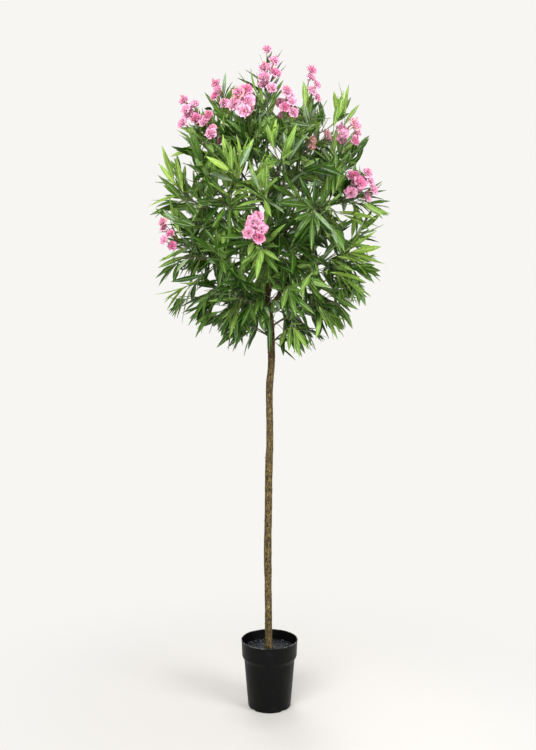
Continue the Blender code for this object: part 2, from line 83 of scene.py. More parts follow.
FLOOR_RADIUS = 60.0
FLOOR_CORNERS = 128
FLOOR_COLOUR = (0.525, 0.512, 0.490)
FLOOR_PAINTED_SHADE_LEFT = 0.93  # painted shade: the floor's colour is a little darker on the left
FLOOR_SHADE_FADES_BETWEEN = (-1.0, 0.8)  # between these places, from left to right, that painted shade fades
FLOOR_CLOUDS = 0.05
FLOOR_FADE = (0.15, 1.4)  # distances between which the lit floor turns into the world's plain brightness
WORLD_COLOUR = (0.935, 0.922, 0.898)
WORLD_LIGHT = 0.50  # how strongly the world lights the plant, as a share of its own brightness

# Each soft light: its place, what it points at, its width and its power in watts.
LIGHTS = {
    "key": ((-1.2, -3.1, 2.9), (0.0, 0.0, 1.55), 3.0, 190.0),
    "side": ((2.5, -2.0, 2.0), (0.0, 0.0, 1.6), 1.8, 115.0),
    "front": ((0.2, -3.6, 0.9), (0.0, 0.0, 1.5), 1.6, 45.0),
    "top": ((0.3, 1.2, 4.4), (0.0, 0.0, 1.8), 1.8, 60.0),
    "back": ((-0.9, 3.2, 2.5), (0.0, 0.0, 1.6), 2.4, 70.0),
}

# ---------------------------------------------------------------- trunk, boughs and masses, as in the source

# The trunk's line: height, sideways offset, depth offset, radius.
TRUNK_LINE = (
    (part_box("trunk")[0].z, -0.0030, 0.0000, 0.0140),
    (0.245, -0.0030, 0.0000, 0.0127),
    (0.420, -0.0045, 0.0010, 0.0125),
    (0.560, -0.0062, 0.0020, 0.0134),
    (0.690, -0.0040, 0.0010, 0.0127),
    (0.850, -0.0022, -0.0010, 0.0130),
    (0.950, 0.0010, -0.0020, 0.0120),
    (1.090, -0.0002, 0.0000, 0.0120),
    (1.150, 0.0008, 0.0010, 0.0126),
    (1.215, 0.0065, 0.0015, 0.0120),
    (1.285, 0.0058, 0.0010, 0.0132),
    (1.380, 0.0015, 0.0000, 0.0122),
    (1.455, -0.0065, 0.0000, 0.0084),
    (1.580, -0.0085, 0.0030, 0.0072),
    (1.720, -0.0040, 0.0060, 0.0058),
    (1.880, -0.0080, 0.0080, 0.0044),
)
TRUNK_TOP = TRUNK_LINE[-1][0]
BOUGH_TIP_RADIUS = 0.0034
STEM_TIP_RADIUS = 0.0016
LIMB_POINTS = 8
UPRIGHT_ABOVE = 1.85  # limbs that end above this height rise steeply
# A limb's two inner Bezier points: the shares of its way out and of its rise, and a lift.
UPRIGHT_LIMB = ((0.45, 0.30, 0.0), (0.92, 0.58, 0.0))
SPREADING_LIMB = ((0.30, 0.42, 0.012), (0.68, 0.85, 0.018))

# Each mass: where its main stem ends, the height at which its limb leaves the trunk, the share of that limb
# which is a bough (0 for a stem straight from the trunk) and the limb's radius at its foot.
MASSES = {
    "crown_top": ((-0.006, 0.005, 2.150), TRUNK_TOP, 0.0, 0.0034),
    "high_left": ((-0.165, 0.020, 2.080), 1.740, 0.40, 0.0046),
    "high_front": ((-0.070, -0.130, 2.030), 1.790, 0.0, 0.0036),
    "high_front_right": ((0.085, -0.090, 2.050), 1.820, 0.0, 0.0036),
    "high_right": ((0.140, 0.035, 2.080), 1.500, 0.50, 0.0050),
    "high_back": ((0.060, 0.155, 2.050), 1.435, 0.55, 0.0052),
    "shoulder_left": ((-0.245, -0.050, 1.970), 1.640, 0.44, 0.0050),
    "shoulder_right": ((0.240, -0.020, 1.960), 1.405, 0.50, 0.0085),
    "shoulder_front": ((0.060, -0.240, 1.890), 1.700, 0.0, 0.0040),
    "shoulder_back": ((-0.130, 0.215, 1.910), 1.660, 0.42, 0.0050),
    "left_high": ((-0.300, 0.050, 1.790), 1.560, 0.44, 0.0054),
    "right_high": ((0.300, 0.000, 1.790), 1.600, 0.44, 0.0052),
    "front_left": ((-0.180, -0.230, 1.760), 1.610, 0.42, 0.0052),
    "front_right": ((0.190, -0.230, 1.740), 1.580, 0.42, 0.0054),
    "back_left": ((-0.190, 0.235, 1.700), 1.590, 0.42, 0.0052),
    "back_right": ((0.180, 0.230, 1.790), 1.620, 0.42, 0.0050),
    "front_middle": ((-0.030, -0.300, 1.600), 1.520, 0.0, 0.0042),
    "back_middle": ((-0.020, 0.300, 1.600), 1.500, 0.0, 0.0042),
    "left_middle": ((-0.290, -0.070, 1.580), 1.500, 0.0, 0.0042),
    "right_middle": ((0.290, 0.030, 1.580), 1.480, 0.0, 0.0042),
    "left_low": ((-0.215, 0.040, 1.430), 1.430, 0.0, 0.0038),
    "right_low": ((0.215, -0.080, 1.430), 1.345, 0.0, 0.0038),
    "front_low": ((-0.060, -0.215, 1.430), 1.390, 0.0, 0.0038),
    "back_low": ((-0.030, 0.215, 1.440), 1.410, 0.0, 0.0038),
    "lowest_right": ((0.080, -0.045, 1.330), 1.285, 0.0, 0.0032),
    "lowest_left": ((-0.090, 0.030, 1.345), 1.305, 0.0, 0.0032),
}
MASS_NODES = [f"foliage_{name}" for name in MASSES]
BOUGH_NODES = [f"bough_{name}" for name, row in MASSES.items() if row[2]]

# The crown's outline, from its lowest leaf tip to the top: height and reach from the axis.
CROWN_OUTLINE = (
    (1.215, 0.060),
    (1.250, 0.150),
    (1.290, 0.225),
    (1.370, 0.320),
    (1.450, 0.385),
    (1.600, 0.395),
    (1.760, 0.405),
    (1.880, 0.380),
    (2.030, 0.330),
    (2.130, 0.300),
    (2.190, 0.250),
    (2.245, 0.140),
    (2.300, 0.030),
)

# Each blossom cluster is a short spike: its middle, its number of blossoms, its height and width, how far it
# leans to the right in degrees, and its blossoms' size.
Cluster = namedtuple("Cluster", "middle blossoms height width lean size")
CLUSTERS = {
    "top": Cluster((-0.010, 0.000, 2.280), 1, 0.000, 0.000, 0, 0.85),
    "crown": Cluster((-0.005, 0.000, 2.195), 6, 0.110, 0.060, 15, 0.95),
    "high_left": Cluster((-0.175, -0.010, 2.135), 4, 0.085, 0.030, -15, 0.78),
    "high_front": Cluster((-0.090, -0.150, 2.080), 7, 0.080, 0.060, -5, 1.00),
    "left": Cluster((-0.270, -0.020, 2.070), 6, 0.090, 0.055, -5, 0.92),
    "left_inner": Cluster((-0.200, -0.110, 2.010), 4, 0.080, 0.030, -15, 0.82),
    "high_right": Cluster((0.065, -0.090, 2.090), 5, 0.080, 0.035, 0, 0.82),
    "tall_right": Cluster((0.150, 0.010, 2.170), 5, 0.110, 0.025, -10, 0.78),
    "right": Cluster((0.265, -0.020, 2.005), 7, 0.080, 0.080, 25, 0.92),
    "far_right": Cluster((0.310, -0.050, 1.825), 8, 0.085, 0.090, 0, 1.05),
    "front": Cluster((-0.045, -0.330, 1.662), 6, 0.074, 0.050, -5, 0.94),
    "far_left": Cluster((-0.345, -0.060, 1.660), 5, 0.100, 0.035, -15, 0.78),
    "faded": Cluster((0.145, 0.000, 1.970), 2, 0.035, 0.015, 0, 0.75),
    "salmon": Cluster((0.195, 0.050, 2.005), 2, 0.030, 0.020, 25, 0.80),
    "back_top": Cluster((0.060, 0.180, 2.110), 5, 0.080, 0.060, 0, 0.92),
    "back_left": Cluster((-0.170, 0.230, 2.010), 5, 0.080, 0.060, 0, 0.92),
    "back_right": Cluster((0.230, 0.200, 1.900), 5, 0.080, 0.060, 0, 0.92),
    "back_far_left": Cluster((-0.240, 0.240, 1.740), 4, 0.070, 0.050, 0, 0.88),
    "back": Cluster((0.120, 0.310, 1.700), 5, 0.080, 0.060, 0, 0.92),
}
CLUSTER_TAPER = 0.45  # how much narrower a cluster is at its top
CLUSTER_DEPTH = 0.55  # its depth, as a share of its width
CLUSTER_FRONT = 0.12  # a cluster nearer the front than this turns towards it
CLUSTER_WAYS = (0.60, 0.55, 0.80)  # how strongly it faces outwards, up and to the front
CLUSTER_ON_AXIS = 0.05  # so near the axis, a cluster has no way outwards
BLOSSOM_UNEVEN = 0.10
SMALL_CLUSTER = 2  # a cluster of no more blossoms than this is kept clear less widely

# ---------------------------------------------------------------- bark relief

TRUNK_SIDES, BOUGH_SIDES, STEM_SIDES, TWIG_SIDES = 32, 14, 9, 6
# Each kind of relief: how finely it varies across and along a limb.
RIDGES = (150, 26)
KNOTS = (60, 18)
SCALES = (420, 230)
RELIEF_SHARES = (0.65, 0.8, 0.42)  # how strongly each of them counts
KNOTS_ABOVE = 0.12
TRUNK_RELIEF, BOUGH_RELIEF, STEM_RELIEF = 0.13, 0.16, 0.10  # depth as a share of the radius
BOUGH_SHIFT = 7.0  # keeps one bough's relief unlike the next one's
TRUNK_COLLAR = (0.10, 0.012)  # how much wider its foot is, and over what length
BOUGH_COLLAR = (0.45, 0.014)
NUBS = 46  # stubs of old side shoots up the trunk
NUB_SPACES = 58  # as many would fit, if they went on to the trunk's tip
NUB_UNEVEN = (0.2, 0.8)
NUB_LEAN = math.radians(70)
NUB_LENGTH = (0.0018, 0.0046)
NUB_FROM = 0.8  # of the trunk's radius, where it starts
NUB_SUNK_LENGTH = 0.003
NUB_OUTLINE = ((0.0, 0.0026), (0.35, 0.0016), (0.7, 0.0010), (1.0, 0.0005))  # share of length and radius

# ---------------------------------------------------------------- finer growth

LIMB_FINENESS = 14  # points on a limb's line for each one in the source
TRUNK_FINENESS = 44
SOURCE_TRUNK_STEPS = 2
SHOOTS = 118  # side shoots, a dozen more than in the source
SHOOT_INSET = 0.088
SHOOT_UNEVEN = 0.030  # how much further in or out a shoot may end
SHOOT_DEEPER = 0.70
SHOOT_LOWEST = 1.335
SHOOT_HIGHEST = 2.115
SHOOT_HEIGHTS = 200  # steps in which the crown's area is added up
SHOOT_LEAST_REACH = 0.02
SHOOT_LOW_RISE = -0.40  # how shoots point, upwards against outwards, at the crown's foot ...
SHOOT_TOP_RISE = 1.15  # ... and at its top
SHOOT_TOP_OUT = 0.38
SHOOT_WANDER = 0.28
SHOOT_DEEP_EVERY = 3  # every third shoot ends deeper in the crown
SHOOT_UPRIGHT_FROM = 0.15  # shoots are fully upright from this far below the highest
TWIG_LEAD = 0.75  # how far back down the stem a twig leaves it, as a share of its reach
TWIG_BEND = 0.34  # how long its Bezier handles are, as a share of its reach
TWIG_START = 0.55  # how much of its first handle follows the stem
TWIG_END = 0.65  # how much of its last handle follows the way that it ends
TWIG_RADIUS = 0.0019
TWIG_TIP_RADIUS = 0.0010
TWIG_POINTS = 12

SIDE_TWIG_SHARES = (0.40, 0.66)  # where along a twig its own side twigs leave it
SIDE_TWIG_CHANCE = 0.80
SIDE_TWIG_LENGTH = (0.055, 0.110)
SIDE_TWIG_LEAN = math.radians(42)
SIDE_TWIG_INSET = 0.050
SIDE_TWIG_LEAST = 0.070  # a shorter twig has none
SIDE_TWIG_AHEAD = 0.4  # how far a side twig's end bends back along its twig's way
SIDE_TWIG_THINNER = 0.75
SIDE_TINT_KEPT = 0.6  # the chance that a side twig has its twig's tint

# Each whorl of three leaves, counted from the tip: distance, lean from the twig and the share of full length.
WHORLS = (
    (0.001, math.radians(15), 0.74),
    (0.014, math.radians(34), 0.92),
    (0.038, math.radians(46), 1.00),
    (0.072, math.radians(54), 1.00),
    (0.112, math.radians(60), 0.96),
    (0.155, math.radians(64), 0.92),
    (0.200, math.radians(66), 0.90),
    (0.250, math.radians(66), 0.88),
)
# The same on the shoots with a place of their own, which end in a fan of long leaves.
OUTER_WHORLS = (
    (0.001, math.radians(17), 1.02),
    (0.020, math.radians(42), 1.08),
    (0.050, math.radians(62), 1.04),
)
TWIG_WHORLS = 6
LOW_TWIG_WHORLS = 4
SIDE_WHORLS = 3
LOW_SIDE_WHORLS = 2
LOW_SHOOTS = 1.49  # shoots that end below this height have fewer and longer leaves
LOW_LEAF_SHARE = 1.12
STEM_WHORLS = 8
STEM_SKIP = 4  # a stem's leaves follow every fourth of its points
CLUSTER_WHORLS = 3
CLUSTER_BARE = 2  # points at the end of a cluster's twig that bear no leaves
WHORL_LEAVES = 3
WHORL_STAGGER = 0.005
WHORL_FROM_FOOT = 0.018
WHORL_UNEVEN = (0.85, 1.2)

LEAF_LENGTH = (0.102, 0.140)
LEAF_WIDTH = (0.0160, 0.0210)
LEAF_STATIONS = np.array((0.0, 0.05, 0.12, 0.22, 0.34, 0.47, 0.60, 0.72, 0.84, 0.93, 1.0))
LEAF_OUTLINE = np.array((0.09, 0.12, 0.33, 0.66, 0.90, 1.00, 0.95, 0.78, 0.50, 0.25, 0.02))
LEAF_ACROSS = (-1.0, 0.0, 0.0, 1.0)
LEAF_BEND = (-0.12, 0.42)
LEAF_TWIST = 0.40
LEAF_FOLD = (0.10, 0.42)
LEAF_RIB = 0.0010  # half the midrib's width at the foot
LEAF_RIB_TAPER = 0.5
LEAF_RIB_MOST = 0.6  # of the blade's half width
LEAF_RIB_SINK = 0.0004
LEAF_WAVE = 0.0012
LEAF_WAVES = 19.0  # the ripple's angle from foot to tip
LEAF_NARROWS = 0.45  # how far a shorter leaf is narrower too
LEAF_DROOP = 0.90
LEAF_UPWARD = 0.5  # how far blades turn up
LOW_LEAF_OUTWARD = 0.85  # how much of that is lost in the crown's foot, where leaves hang
LEAF_ROLL = 0.55
LEAF_TRIES = 12
LEAF_SWING = (0.4, 0.22)  # the angle round its twig that a leaf may stand in, and how much wider each try
LEAF_LEAN_UNEVEN = (0.72, 1.28)
LEAF_SHRINK = 0.03  # how much shorter it is at each try
LEAF_GAP = 0.0075  # wanted between two leaves' middles
LEAF_LEAST_GAP = 0.35  # a leaf with less than this share of it is left out
LEAF_PROBES = np.array((0.20, 0.35, 0.50, 0.65, 0.80, 0.92, 1.0))
LEAF_OUT = 0.010  # how far a tip may pass the crown's outline
LEAF_UNEVEN = 0.075  # how far the outline draws in between the places where leaves reach it
LEAF_UNEVEN_SCALE = 7.0
CHOSEN_OUT = 0.010  # how far they may pass it on the shoots with a place of their own
DROOP_MIDDLE = 1.74
DROOP_SPAN = 0.40
DROOP_LIMITS = (-0.30, 0.85)

# Leaf colours, blade and midrib: oldest to youngest, and last a pale tint that is a painted sheen.
LEAF_TINTS = {
    "deep": ((0.017, 0.050, 0.003), (0.110, 0.185, 0.050)),
    "dark": ((0.050, 0.107, 0.013), (0.180, 0.270, 0.095)),
    "mid": ((0.118, 0.208, 0.036), (0.290, 0.400, 0.145)),
    "fresh": ((0.188, 0.305, 0.048), (0.380, 0.490, 0.170)),
    "young": ((0.172, 0.282, 0.045), (0.350, 0.470, 0.150)),
    "painted_sheen": ((0.180, 0.262, 0.148), (0.350, 0.440, 0.290)),
}
GLOSSY_TINTS = ("deep", "dark", "mid")
GLOSSY_LEAF, DULL_LEAF = 0.38, 0.50  # roughness
# A spray's tint comes from a score: how high it is, how near the skin, and chance.
TINT_BY_RISE = 0.26
TINT_BY_SKIN = 0.48
TINT_SPREAD = 0.26
TINT_STEPS = (("deep", 0.36), ("dark", 0.56), ("mid", 0.75), ("fresh", math.inf))
# the share of leaves given the pale tint, a painted sheen
PAINTED_SHEEN_SHARE = 0.05
STRAY_TINT_SHARE = 0.22

# Shoots with a place of their own: where they end, the way they point and their tint.
OUTER_SHOOTS = (
    ((-0.325, -0.040, 1.840), (-0.30, -0.1, 0.95), "young"),
    ((-0.290, -0.030, 1.485), (-1.0, -0.1, 0.15), "young"),
    ((0.270, -0.060, 1.600), (1.0, -0.1, 0.10), "young"),
    ((0.245, -0.040, 1.520), (0.8, -0.1, -0.30), "fresh"),
    ((0.145, -0.060, 1.435), (0.40, -0.2, -0.60), "mid"),
    ((-0.110, -0.060, 1.435), (-0.15, -0.2, -0.80), "mid"),
    ((-0.225, -0.020, 1.470), (-0.6, -0.1, -0.50), "dark"),
    ((-0.310, -0.010, 1.775), (-1.0, -0.1, -0.10), "dark"),
    ((-0.290, 0.000, 1.590), (-0.9, -0.1, -0.35), "mid"),
    ((0.245, -0.030, 1.730), (1.0, -0.2, 0.15), "fresh"),
    ((0.210, 0.000, 1.910), (0.9, -0.1, 0.35), "mid"),
    ((0.255, -0.020, 2.055), (0.05, -0.1, 1.0), "fresh"),
    ((-0.040, -0.010, 2.120), (-0.75, -0.1, 0.60), "mid"),
    ((0.020, -0.040, 2.110), (0.60, -0.1, 0.80), "young"),
    ((0.120, -0.020, 2.090), (0.0, -0.1, 1.0), "fresh"),
    ((0.190, -0.070, 1.400), (0.55, -0.1, -0.70), "mid"),
    ((-0.170, -0.070, 1.395), (-0.45, -0.1, -0.75), "fresh"),
    ((0.080, -0.090, 1.350), (0.15, -0.2, -0.90), "mid"),
)

# Sky that the camera sees through the crown or in notches of its skyline. Each opening runs between two
# places at the depth of the trunk (sideways, height), with a half width.
SKY = (
    (-0.295, 1.925, -0.270, 1.910, 0.014),
    (-0.275, 1.880, -0.270, 1.830, 0.011),
    (-0.050, 1.915, -0.050, 1.895, 0.010),
    (-0.085, 1.890, -0.075, 1.850, 0.006),
    (-0.170, 1.850, -0.165, 1.840, 0.010),
    (-0.035, 1.765, -0.020, 1.750, 0.010),
    (-0.290, 1.735, -0.270, 1.725, 0.010),
    (-0.120, 1.580, -0.105, 1.585, 0.010),
    (-0.200, 1.555, -0.190, 1.515, 0.010),
    (-0.245, 1.460, -0.220, 1.475, 0.014),
    (-0.185, 1.410, -0.170, 1.400, 0.010),
    (0.000, 1.470, 0.005, 1.410, 0.006),
    (0.020, 1.470, 0.020, 1.445, 0.008),
    (0.025, 1.380, 0.020, 1.300, 0.016),
    (-0.035, 1.330, -0.020, 1.300, 0.016),
    (0.130, 1.385, 0.135, 1.360, 0.010),
    (0.190, 1.465, 0.205, 1.445, 0.012),
    (0.175, 1.555, 0.180, 1.530, 0.010),
    (0.165, 1.600, 0.185, 1.605, 0.009),
    (0.020, 1.955, 0.030, 1.930, 0.012),
    (0.045, 1.785, 0.060, 1.790, 0.007),
    (0.200, 1.785, 0.220, 1.790, 0.008),
    (0.235, 1.755, 0.240, 1.725, 0.010),
    (0.270, 1.675, 0.270, 1.650, 0.010),
    (0.215, 1.595, 0.195, 1.580, 0.012),
    (-0.275, 2.135, -0.215, 2.105, 0.016),
    (0.100, 2.165, 0.100, 2.105, 0.012),
    (0.195, 2.190, 0.205, 2.040, 0.015),
    (0.340, 1.945, 0.340, 1.880, 0.024),
    (0.040, 2.120, 0.030, 2.070, 0.010),
    (0.175, 2.025, 0.180, 1.995, 0.009),
    (-0.170, 1.990, -0.165, 1.970, 0.008),
    (-0.235, 1.965, -0.220, 1.945, 0.010),
    (0.345, 1.485, 0.375, 1.480, 0.012),
    (-0.330, 1.985, -0.300, 1.970, 0.018),
    (0.370, 1.425, 0.300, 1.365, 0.018),
    (-0.215, 1.345, -0.175, 1.300, 0.010),
)
SKY_CLEARANCE = 0.001
ROOM_CELL = 0.016  # leaves are told apart up to this distance
TRUNK_CLEARANCE, LIMB_CLEARANCE = 0.003, 0.001
HELD_STEM_RADIUS = 0.002
HELD_TRUNK_STEPS, HELD_LIMB_SKIP = 12, 5  # how finely the trunk and the limbs are kept clear
HELD_TRUNK_SIDES, HELD_LIMB_SIDES = 8, 4
CHOSEN_VIEW = 0.012  # how near leaves come to the line of sight to a leaf that has its own place
CHOSEN_VIEW_BEFORE = 0.010  # how far before such a leaf that starts
BLOSSOM_VIEW = 0.026  # how near leaves come to the line of sight to a blossom at the front
BLOSSOM_ROOM = 0.034  # how near leaves come to the line outwards from a cluster
SMALL_CLUSTER_ROOM = 0.015
BLOSSOM_ROOM_LENGTH = 0.12

# ---------------------------------------------------------------- blossom

PETAL_ACROSS = np.linspace(-1, 1, 7)
PETAL_ALONG = np.array((0.0, 0.16, 0.32, 0.50, 0.68, 0.85, 1.0))
PETAL_OUTLINE = np.array((0.16, 0.32, 0.62, 0.90, 1.02, 0.90, 0.52))
PETAL_LENGTH = 0.0275
PETAL_WIDTH = 0.0260
PETAL_FOOT = 0.0022  # radius of the ring that the petals stand on
PETAL_OPENS_BY = 0.5  # the share of its length in which a petal turns from its foot's lean to its open one
PETAL_CURLS_FROM = 0.6
PETAL_ROUND = 0.16  # how far its edge draws back from its middle, as a share of its length
PETAL_UNEVEN = (0.80, 1.18)
RUFFLES = ((1.0, 5.5, 1.0), (0.7, 11.0, -2.0))  # each wave's strength, turn across the petal and shift

# A blossom's rings from the outside in. Each has its petals' number, turn and share of the blossom's tone,
# their lean at the foot and open, their size and width, and how far they cup, ruffle, tilt and curl.
Ring = namedtuple("Ring", "petals turn tone foot_lean open_lean scale width cup ruffle tilt curl")
OUTER_RING = Ring(5, 0.0, 1.0, 0.35, 1.40, 1.0, 1.0, -0.05, 0.0030, 0.26, 0.8)
INNER_RINGS = (
    Ring(5, 0.63, 1.0, 0.22, 0.98, 0.84, 0.95, 0.18, 0.0040, 0.32, 0.6),
    Ring(4, 0.3, 0.7, 0.10, 0.62, 0.64, 0.90, 0.30, 0.0046, 0.25, 0.3),
)
THROAT_RING = Ring(5, 0.0, 1.0, 0.05, 0.40, 0.30, 0.50, 0.5, 0.0022, 0.1, 0.0)
BLOSSOM_SUNK = 0.008  # from a blossom's middle back to its petals' feet
BLOSSOM_DEPTH = 0.012  # from its middle back to a second point that leaves keep clear of
BLOSSOM_OPENNESS = (0.62, 0.98)

CALYX_LENGTH = 0.019
CALYX_RADIUS = 0.0030
CALYX_SIDES = 8
# Shares of the length and the radius.
CALYX_OUTLINE = ((-0.12, 1.35), (0.0, 1.0), (0.4, 0.55), (0.8, 0.42), (1.0, 0.34))
STALK_BEND = 0.4
STALK_DROP, STALK_BACK = 0.035, 0.02  # where a stalk leaves the twig: so far below and behind its blossom
STALK_RADII, STALK_POINTS = (0.0011, 0.0009), 6
BUD_STALK_RADII, BUD_STALK_POINTS = (0.0009, 0.0007), 5
BUD_STALK_DROP = 0.04
BUD_STALK_END = 0.006
BUD_SIDES = 10
BUD_LENGTH = (0.008, 0.013)
BUD_OUTLINE = ((0.0, 0.10), (0.12, 0.16), (0.3, 0.19), (0.5, 0.20), (0.7, 0.15), (0.88, 0.08), (1.0, 0.01))
BUD_FOLDS = (0.16, 2.5, 260.0)  # their depth as a share of the radius, and their turns round and along it
BUDS_IN_CLUSTER = 5
BUD_FIRST_ANGLE = 0.8
BUD_LEAN = (0.2, 0.9)
BUD_OUTWARDS = 0.3  # how much buds turn to the way that the cluster faces
BUD_REACH = 0.05  # from the twig's end to where a bud looks for its nearest blossom
BUD_AWAY = (0.004, 0.016)  # how far a bud stands from that blossom's middle
BLOSSOM_OUTWARDS = 0.35  # how much blossoms turn to the way that the cluster faces
CLUSTER_BACK = 0.060  # from a cluster's middle back to the point that its blossoms turn away from
CLUSTER_BACK_RISE = 0.6  # how far that point follows a blossom up or down
CLUSTER_TWIG_BACK = 0.032  # from its middle back to its twig's end
CLUSTER_TWIG_RISE = 0.55  # how much of its highest blossom's rise the twig has too
CLUSTER_TWIG_WAY = (0.9, 0.4)  # how strongly the twig's end points up and outwards
PETAL_TINTS = {
    "pale": (0.62, 0.315, 0.44),
    "pink": (0.58, 0.225, 0.350),
    "hot": (0.52, 0.115, 0.245),
    "faded": (0.42, 0.22, 0.16),
    "salmon": (0.70, 0.32, 0.32),
}
THROAT_COLOUR = (0.52, 0.06, 0.20)
# Chances, added up, of the colours of a blossom's outer and inner petals.
PETAL_PAIRS = (
    (0.42, ("pale", "pink")),
    (0.78, ("pink", "hot")),
    (0.94, ("pink", "pale")),
    (1.00, ("salmon", "pink")),
)
OWN_PAIRS = {"faded": ("faded", "salmon"), "salmon": ("pale", "salmon")}  # clusters with colours of their own

# ---------------------------------------------------------------- colours of wood, blossom and fabric

# Each ramp is a row of stops: a position from 0 to 1, and the colour there or the factor on a colour.
LEAF_TONES = ((0.0, (0.66, 0.70, 0.66)), (0.5, (0.94, 0.94, 0.90)), (1.0, (1.26, 1.20, 1.10)))
LEAF_ALONG_TONES = ((0.0, (1.25, 1.12, 0.9)), (0.22, (1.0, 1.0, 1.0)), (1.0, (0.96, 1.0, 0.94)))
LEAF_MOTTLE = ((0.28, 0.78), (0.50, 1.0), (0.74, 1.30))  # brightness by noise
MIDRIB_MOTTLE = ((0.3, 0.8), (0.7, 1.2))
LEAF_VEINS = 46.0  # along a leaf
LEAF_VEIN_SLANT = 5.0
LEAF_VEIN_DEPTH = 0.35  # against the cloth's own grain
LEAF_ROUGH_BELOW, LEAF_ROUGH_ABOVE = 0.10, 0.12  # how far the roughness varies
BARK_COLOURS = (
    (0.33, (0.014, 0.009, 0.003)),
    (0.44, (0.052, 0.036, 0.013)),
    (0.53, (0.115, 0.084, 0.032)),
    (0.66, (0.270, 0.208, 0.092)),
)
BARK_CRACK_TONES = ((0.02, (1.2, 1.17, 1.12)), (0.55, (0.42, 0.39, 0.34)))
BARK_CRACK_STRENGTH = 0.80
BARK_BROWNS_BETWEEN = (1.05, 1.40)  # heights
BARK_CROWN_TONE = (0.55, 0.46, 0.40)
PETAL_STREAKS = 0.30  # how far along a petal its colours run in streaks
PETAL_FOOT_BRIGHTNESS = ((0.06, 1.2),)  # of the throat's colour
PETAL_BRIGHTNESS = ((0.24, 0.58), (0.50, 0.95), (0.95, 1.16))  # of its own, from the foot outwards
PETAL_TONES = ((0.0, (0.84, 0.76, 0.80)), (1.0, (1.0, 1.0, 1.0)))

# A plain look: its colours by noise, the noise's scale, its range of roughness, its relief's depth and scale,
# and its gloss.
PlainLook = namedtuple("PlainLook", "stops scale rough relief relief_scale specular", defaults=(0.5,))
ROUGHNESS_FINER = 1.7  # how much finer the roughness varies than the colours
PLAIN_LOOKS = {
    "twig_bark": PlainLook(
        ((0.32, (0.030, 0.024, 0.012)), (0.50, (0.075, 0.065, 0.030)), (0.70, (0.150, 0.140, 0.065))),
        160, (0.6, 0.85), 0.0006, 600, 0.3,
    ),
    "twig_green": PlainLook(
        ((0.30, (0.030, 0.045, 0.014)), (0.55, (0.070, 0.105, 0.026)), (0.75, (0.150, 0.170, 0.060))),
        120, (0.5, 0.7), 0.0004, 700, 0.4,
    ),
    "flower_stalk": PlainLook(
        ((0.30, (0.140, 0.075, 0.040)), (0.55, (0.250, 0.120, 0.060)), (0.75, (0.220, 0.200, 0.080))),
        200, (0.5, 0.7), 0.0003, 900,
    ),
    "calyx": PlainLook(
        ((0.30, (0.400, 0.130, 0.100)), (0.55, (0.620, 0.230, 0.190)), (0.75, (0.700, 0.330, 0.270))),
        260, (0.5, 0.7), 0.0003, 900,
    ),
    "bud": PlainLook(
        ((0.30, (0.260, 0.050, 0.090)), (0.55, (0.560, 0.130, 0.240)), (0.75, (0.700, 0.230, 0.330))),
        240, (0.5, 0.7), 0.0003, 900,
    ),
    "throat": PlainLook(
        ((0.30, (0.312, 0.036, 0.120)), (0.55, THROAT_COLOUR), (0.75, (0.620, 0.050, 0.170))),
        500, (0.5, 0.7), 0.0003, 900,
    ),
}

# ---------------------------------------------------------------- pot and filling

POT_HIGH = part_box("pot")[1]
RIM_RADIUS = POT_HIGH.x
POT_HEIGHT = POT_HIGH.z
RIM_TAPER = 0.003
BAND_FOOT = POT_HEIGHT - 0.057
WALL_TOP = BAND_FOOT - 0.015
WALL_TOP_RADIUS = 0.0892
BASE_RADIUS = 0.0755
BASE_EDGE = 0.003
POT_WALL = 0.0018
POT_LIP = 0.0013  # how far the rolled lip stands out from the band's inside
LIP_HEIGHT = 0.004
LIP_ROLL = 0.0012  # how far it stands out from the band's outside ...
LIP_ROLL_DROPS = (0.0045, 0.0060)  # ... and between which depths below the top that ends
STEP_LEDGE = 0.0006  # the depth of the step's ledge and of the line above the foot
STEP_RISES = (0.001, -0.003)  # the step's ledge, above and below the wall's top
FOOT_LINE = (0.020, 0.0185)  # its upper and lower height
FOOT_CHAMFER = 0.0004
POT_ROUNDING = 0.0012
ROUNDING_STEPS = 4
ARC_HANDLE = 0.6  # a rounding's Bezier handles, as a share of its reach
ARCS_ON_SIDE = 2.1  # a side has room for so many roundings' reaches
POT_DENTS = 2.0  # how deep they are against the grain
POT_STEPS = 144
POT_SHARP = math.radians(38)
DRAIN_COUNT = 4
DRAIN_FIRST_ANGLE = math.radians(40)
DRAIN_SIZE = (0.016, 0.022, 0.014)  # depth, width and height, half of it above the ground
DRAIN_ROUNDING, DRAIN_ROUNDING_STEPS = 0.0025, 3
# The lip's pale patches are painted glints, highlights along the rim's edge, from this far below its top.
LIP_GLINT_DEPTH = 0.0016
LIP_GLINT_COLOUR = (0.16, 0.16, 0.155)
LIP_GLINT_PATCHES = ((0.50, (0.0, 0.0, 0.0)), (0.60, (1.0, 1.0, 1.0)))  # white where a painted glint falls
POT_COLOURS = (
    (0.35, (0.0016, 0.0016, 0.0017)),
    (0.62, (0.0022, 0.0022, 0.0023)),
    (0.80, (0.0060, 0.0059, 0.0057)),
)

FILL_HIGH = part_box("filling")[1]
FILL_RADIUS = FILL_HIGH.x
FILL_STEPS = 96
FILL_SUNK = 0.0015  # how far the middle of its body lies below the solid's top
FILL_DOME = 0.0025  # how much lower its top is at the wall
FILL_DOME_SHARES = (0.3, 0.6, 0.85, 0.985)
FILL_EDGE = (0.0005, 0.007)  # its body's edge: in from the solid's edge, and below its top
FILL_GAP = 0.0026  # from the pot's outside to the fill
FILL_FLOOR = 0.004
FILL_DARK = (0.0026, 0.003, 0.0038)
FILL_LIGHT = (0.018, 0.020, 0.024)
FILL_MOTTLE = ((0.35, 1.0), (0.60, 2.0))  # the dark colour's brightness by noise ...
FILL_LIGHT_FROM = 0.78  # ... and where the light colour follows it
FILL_BODY_BRIGHTNESS = 0.7
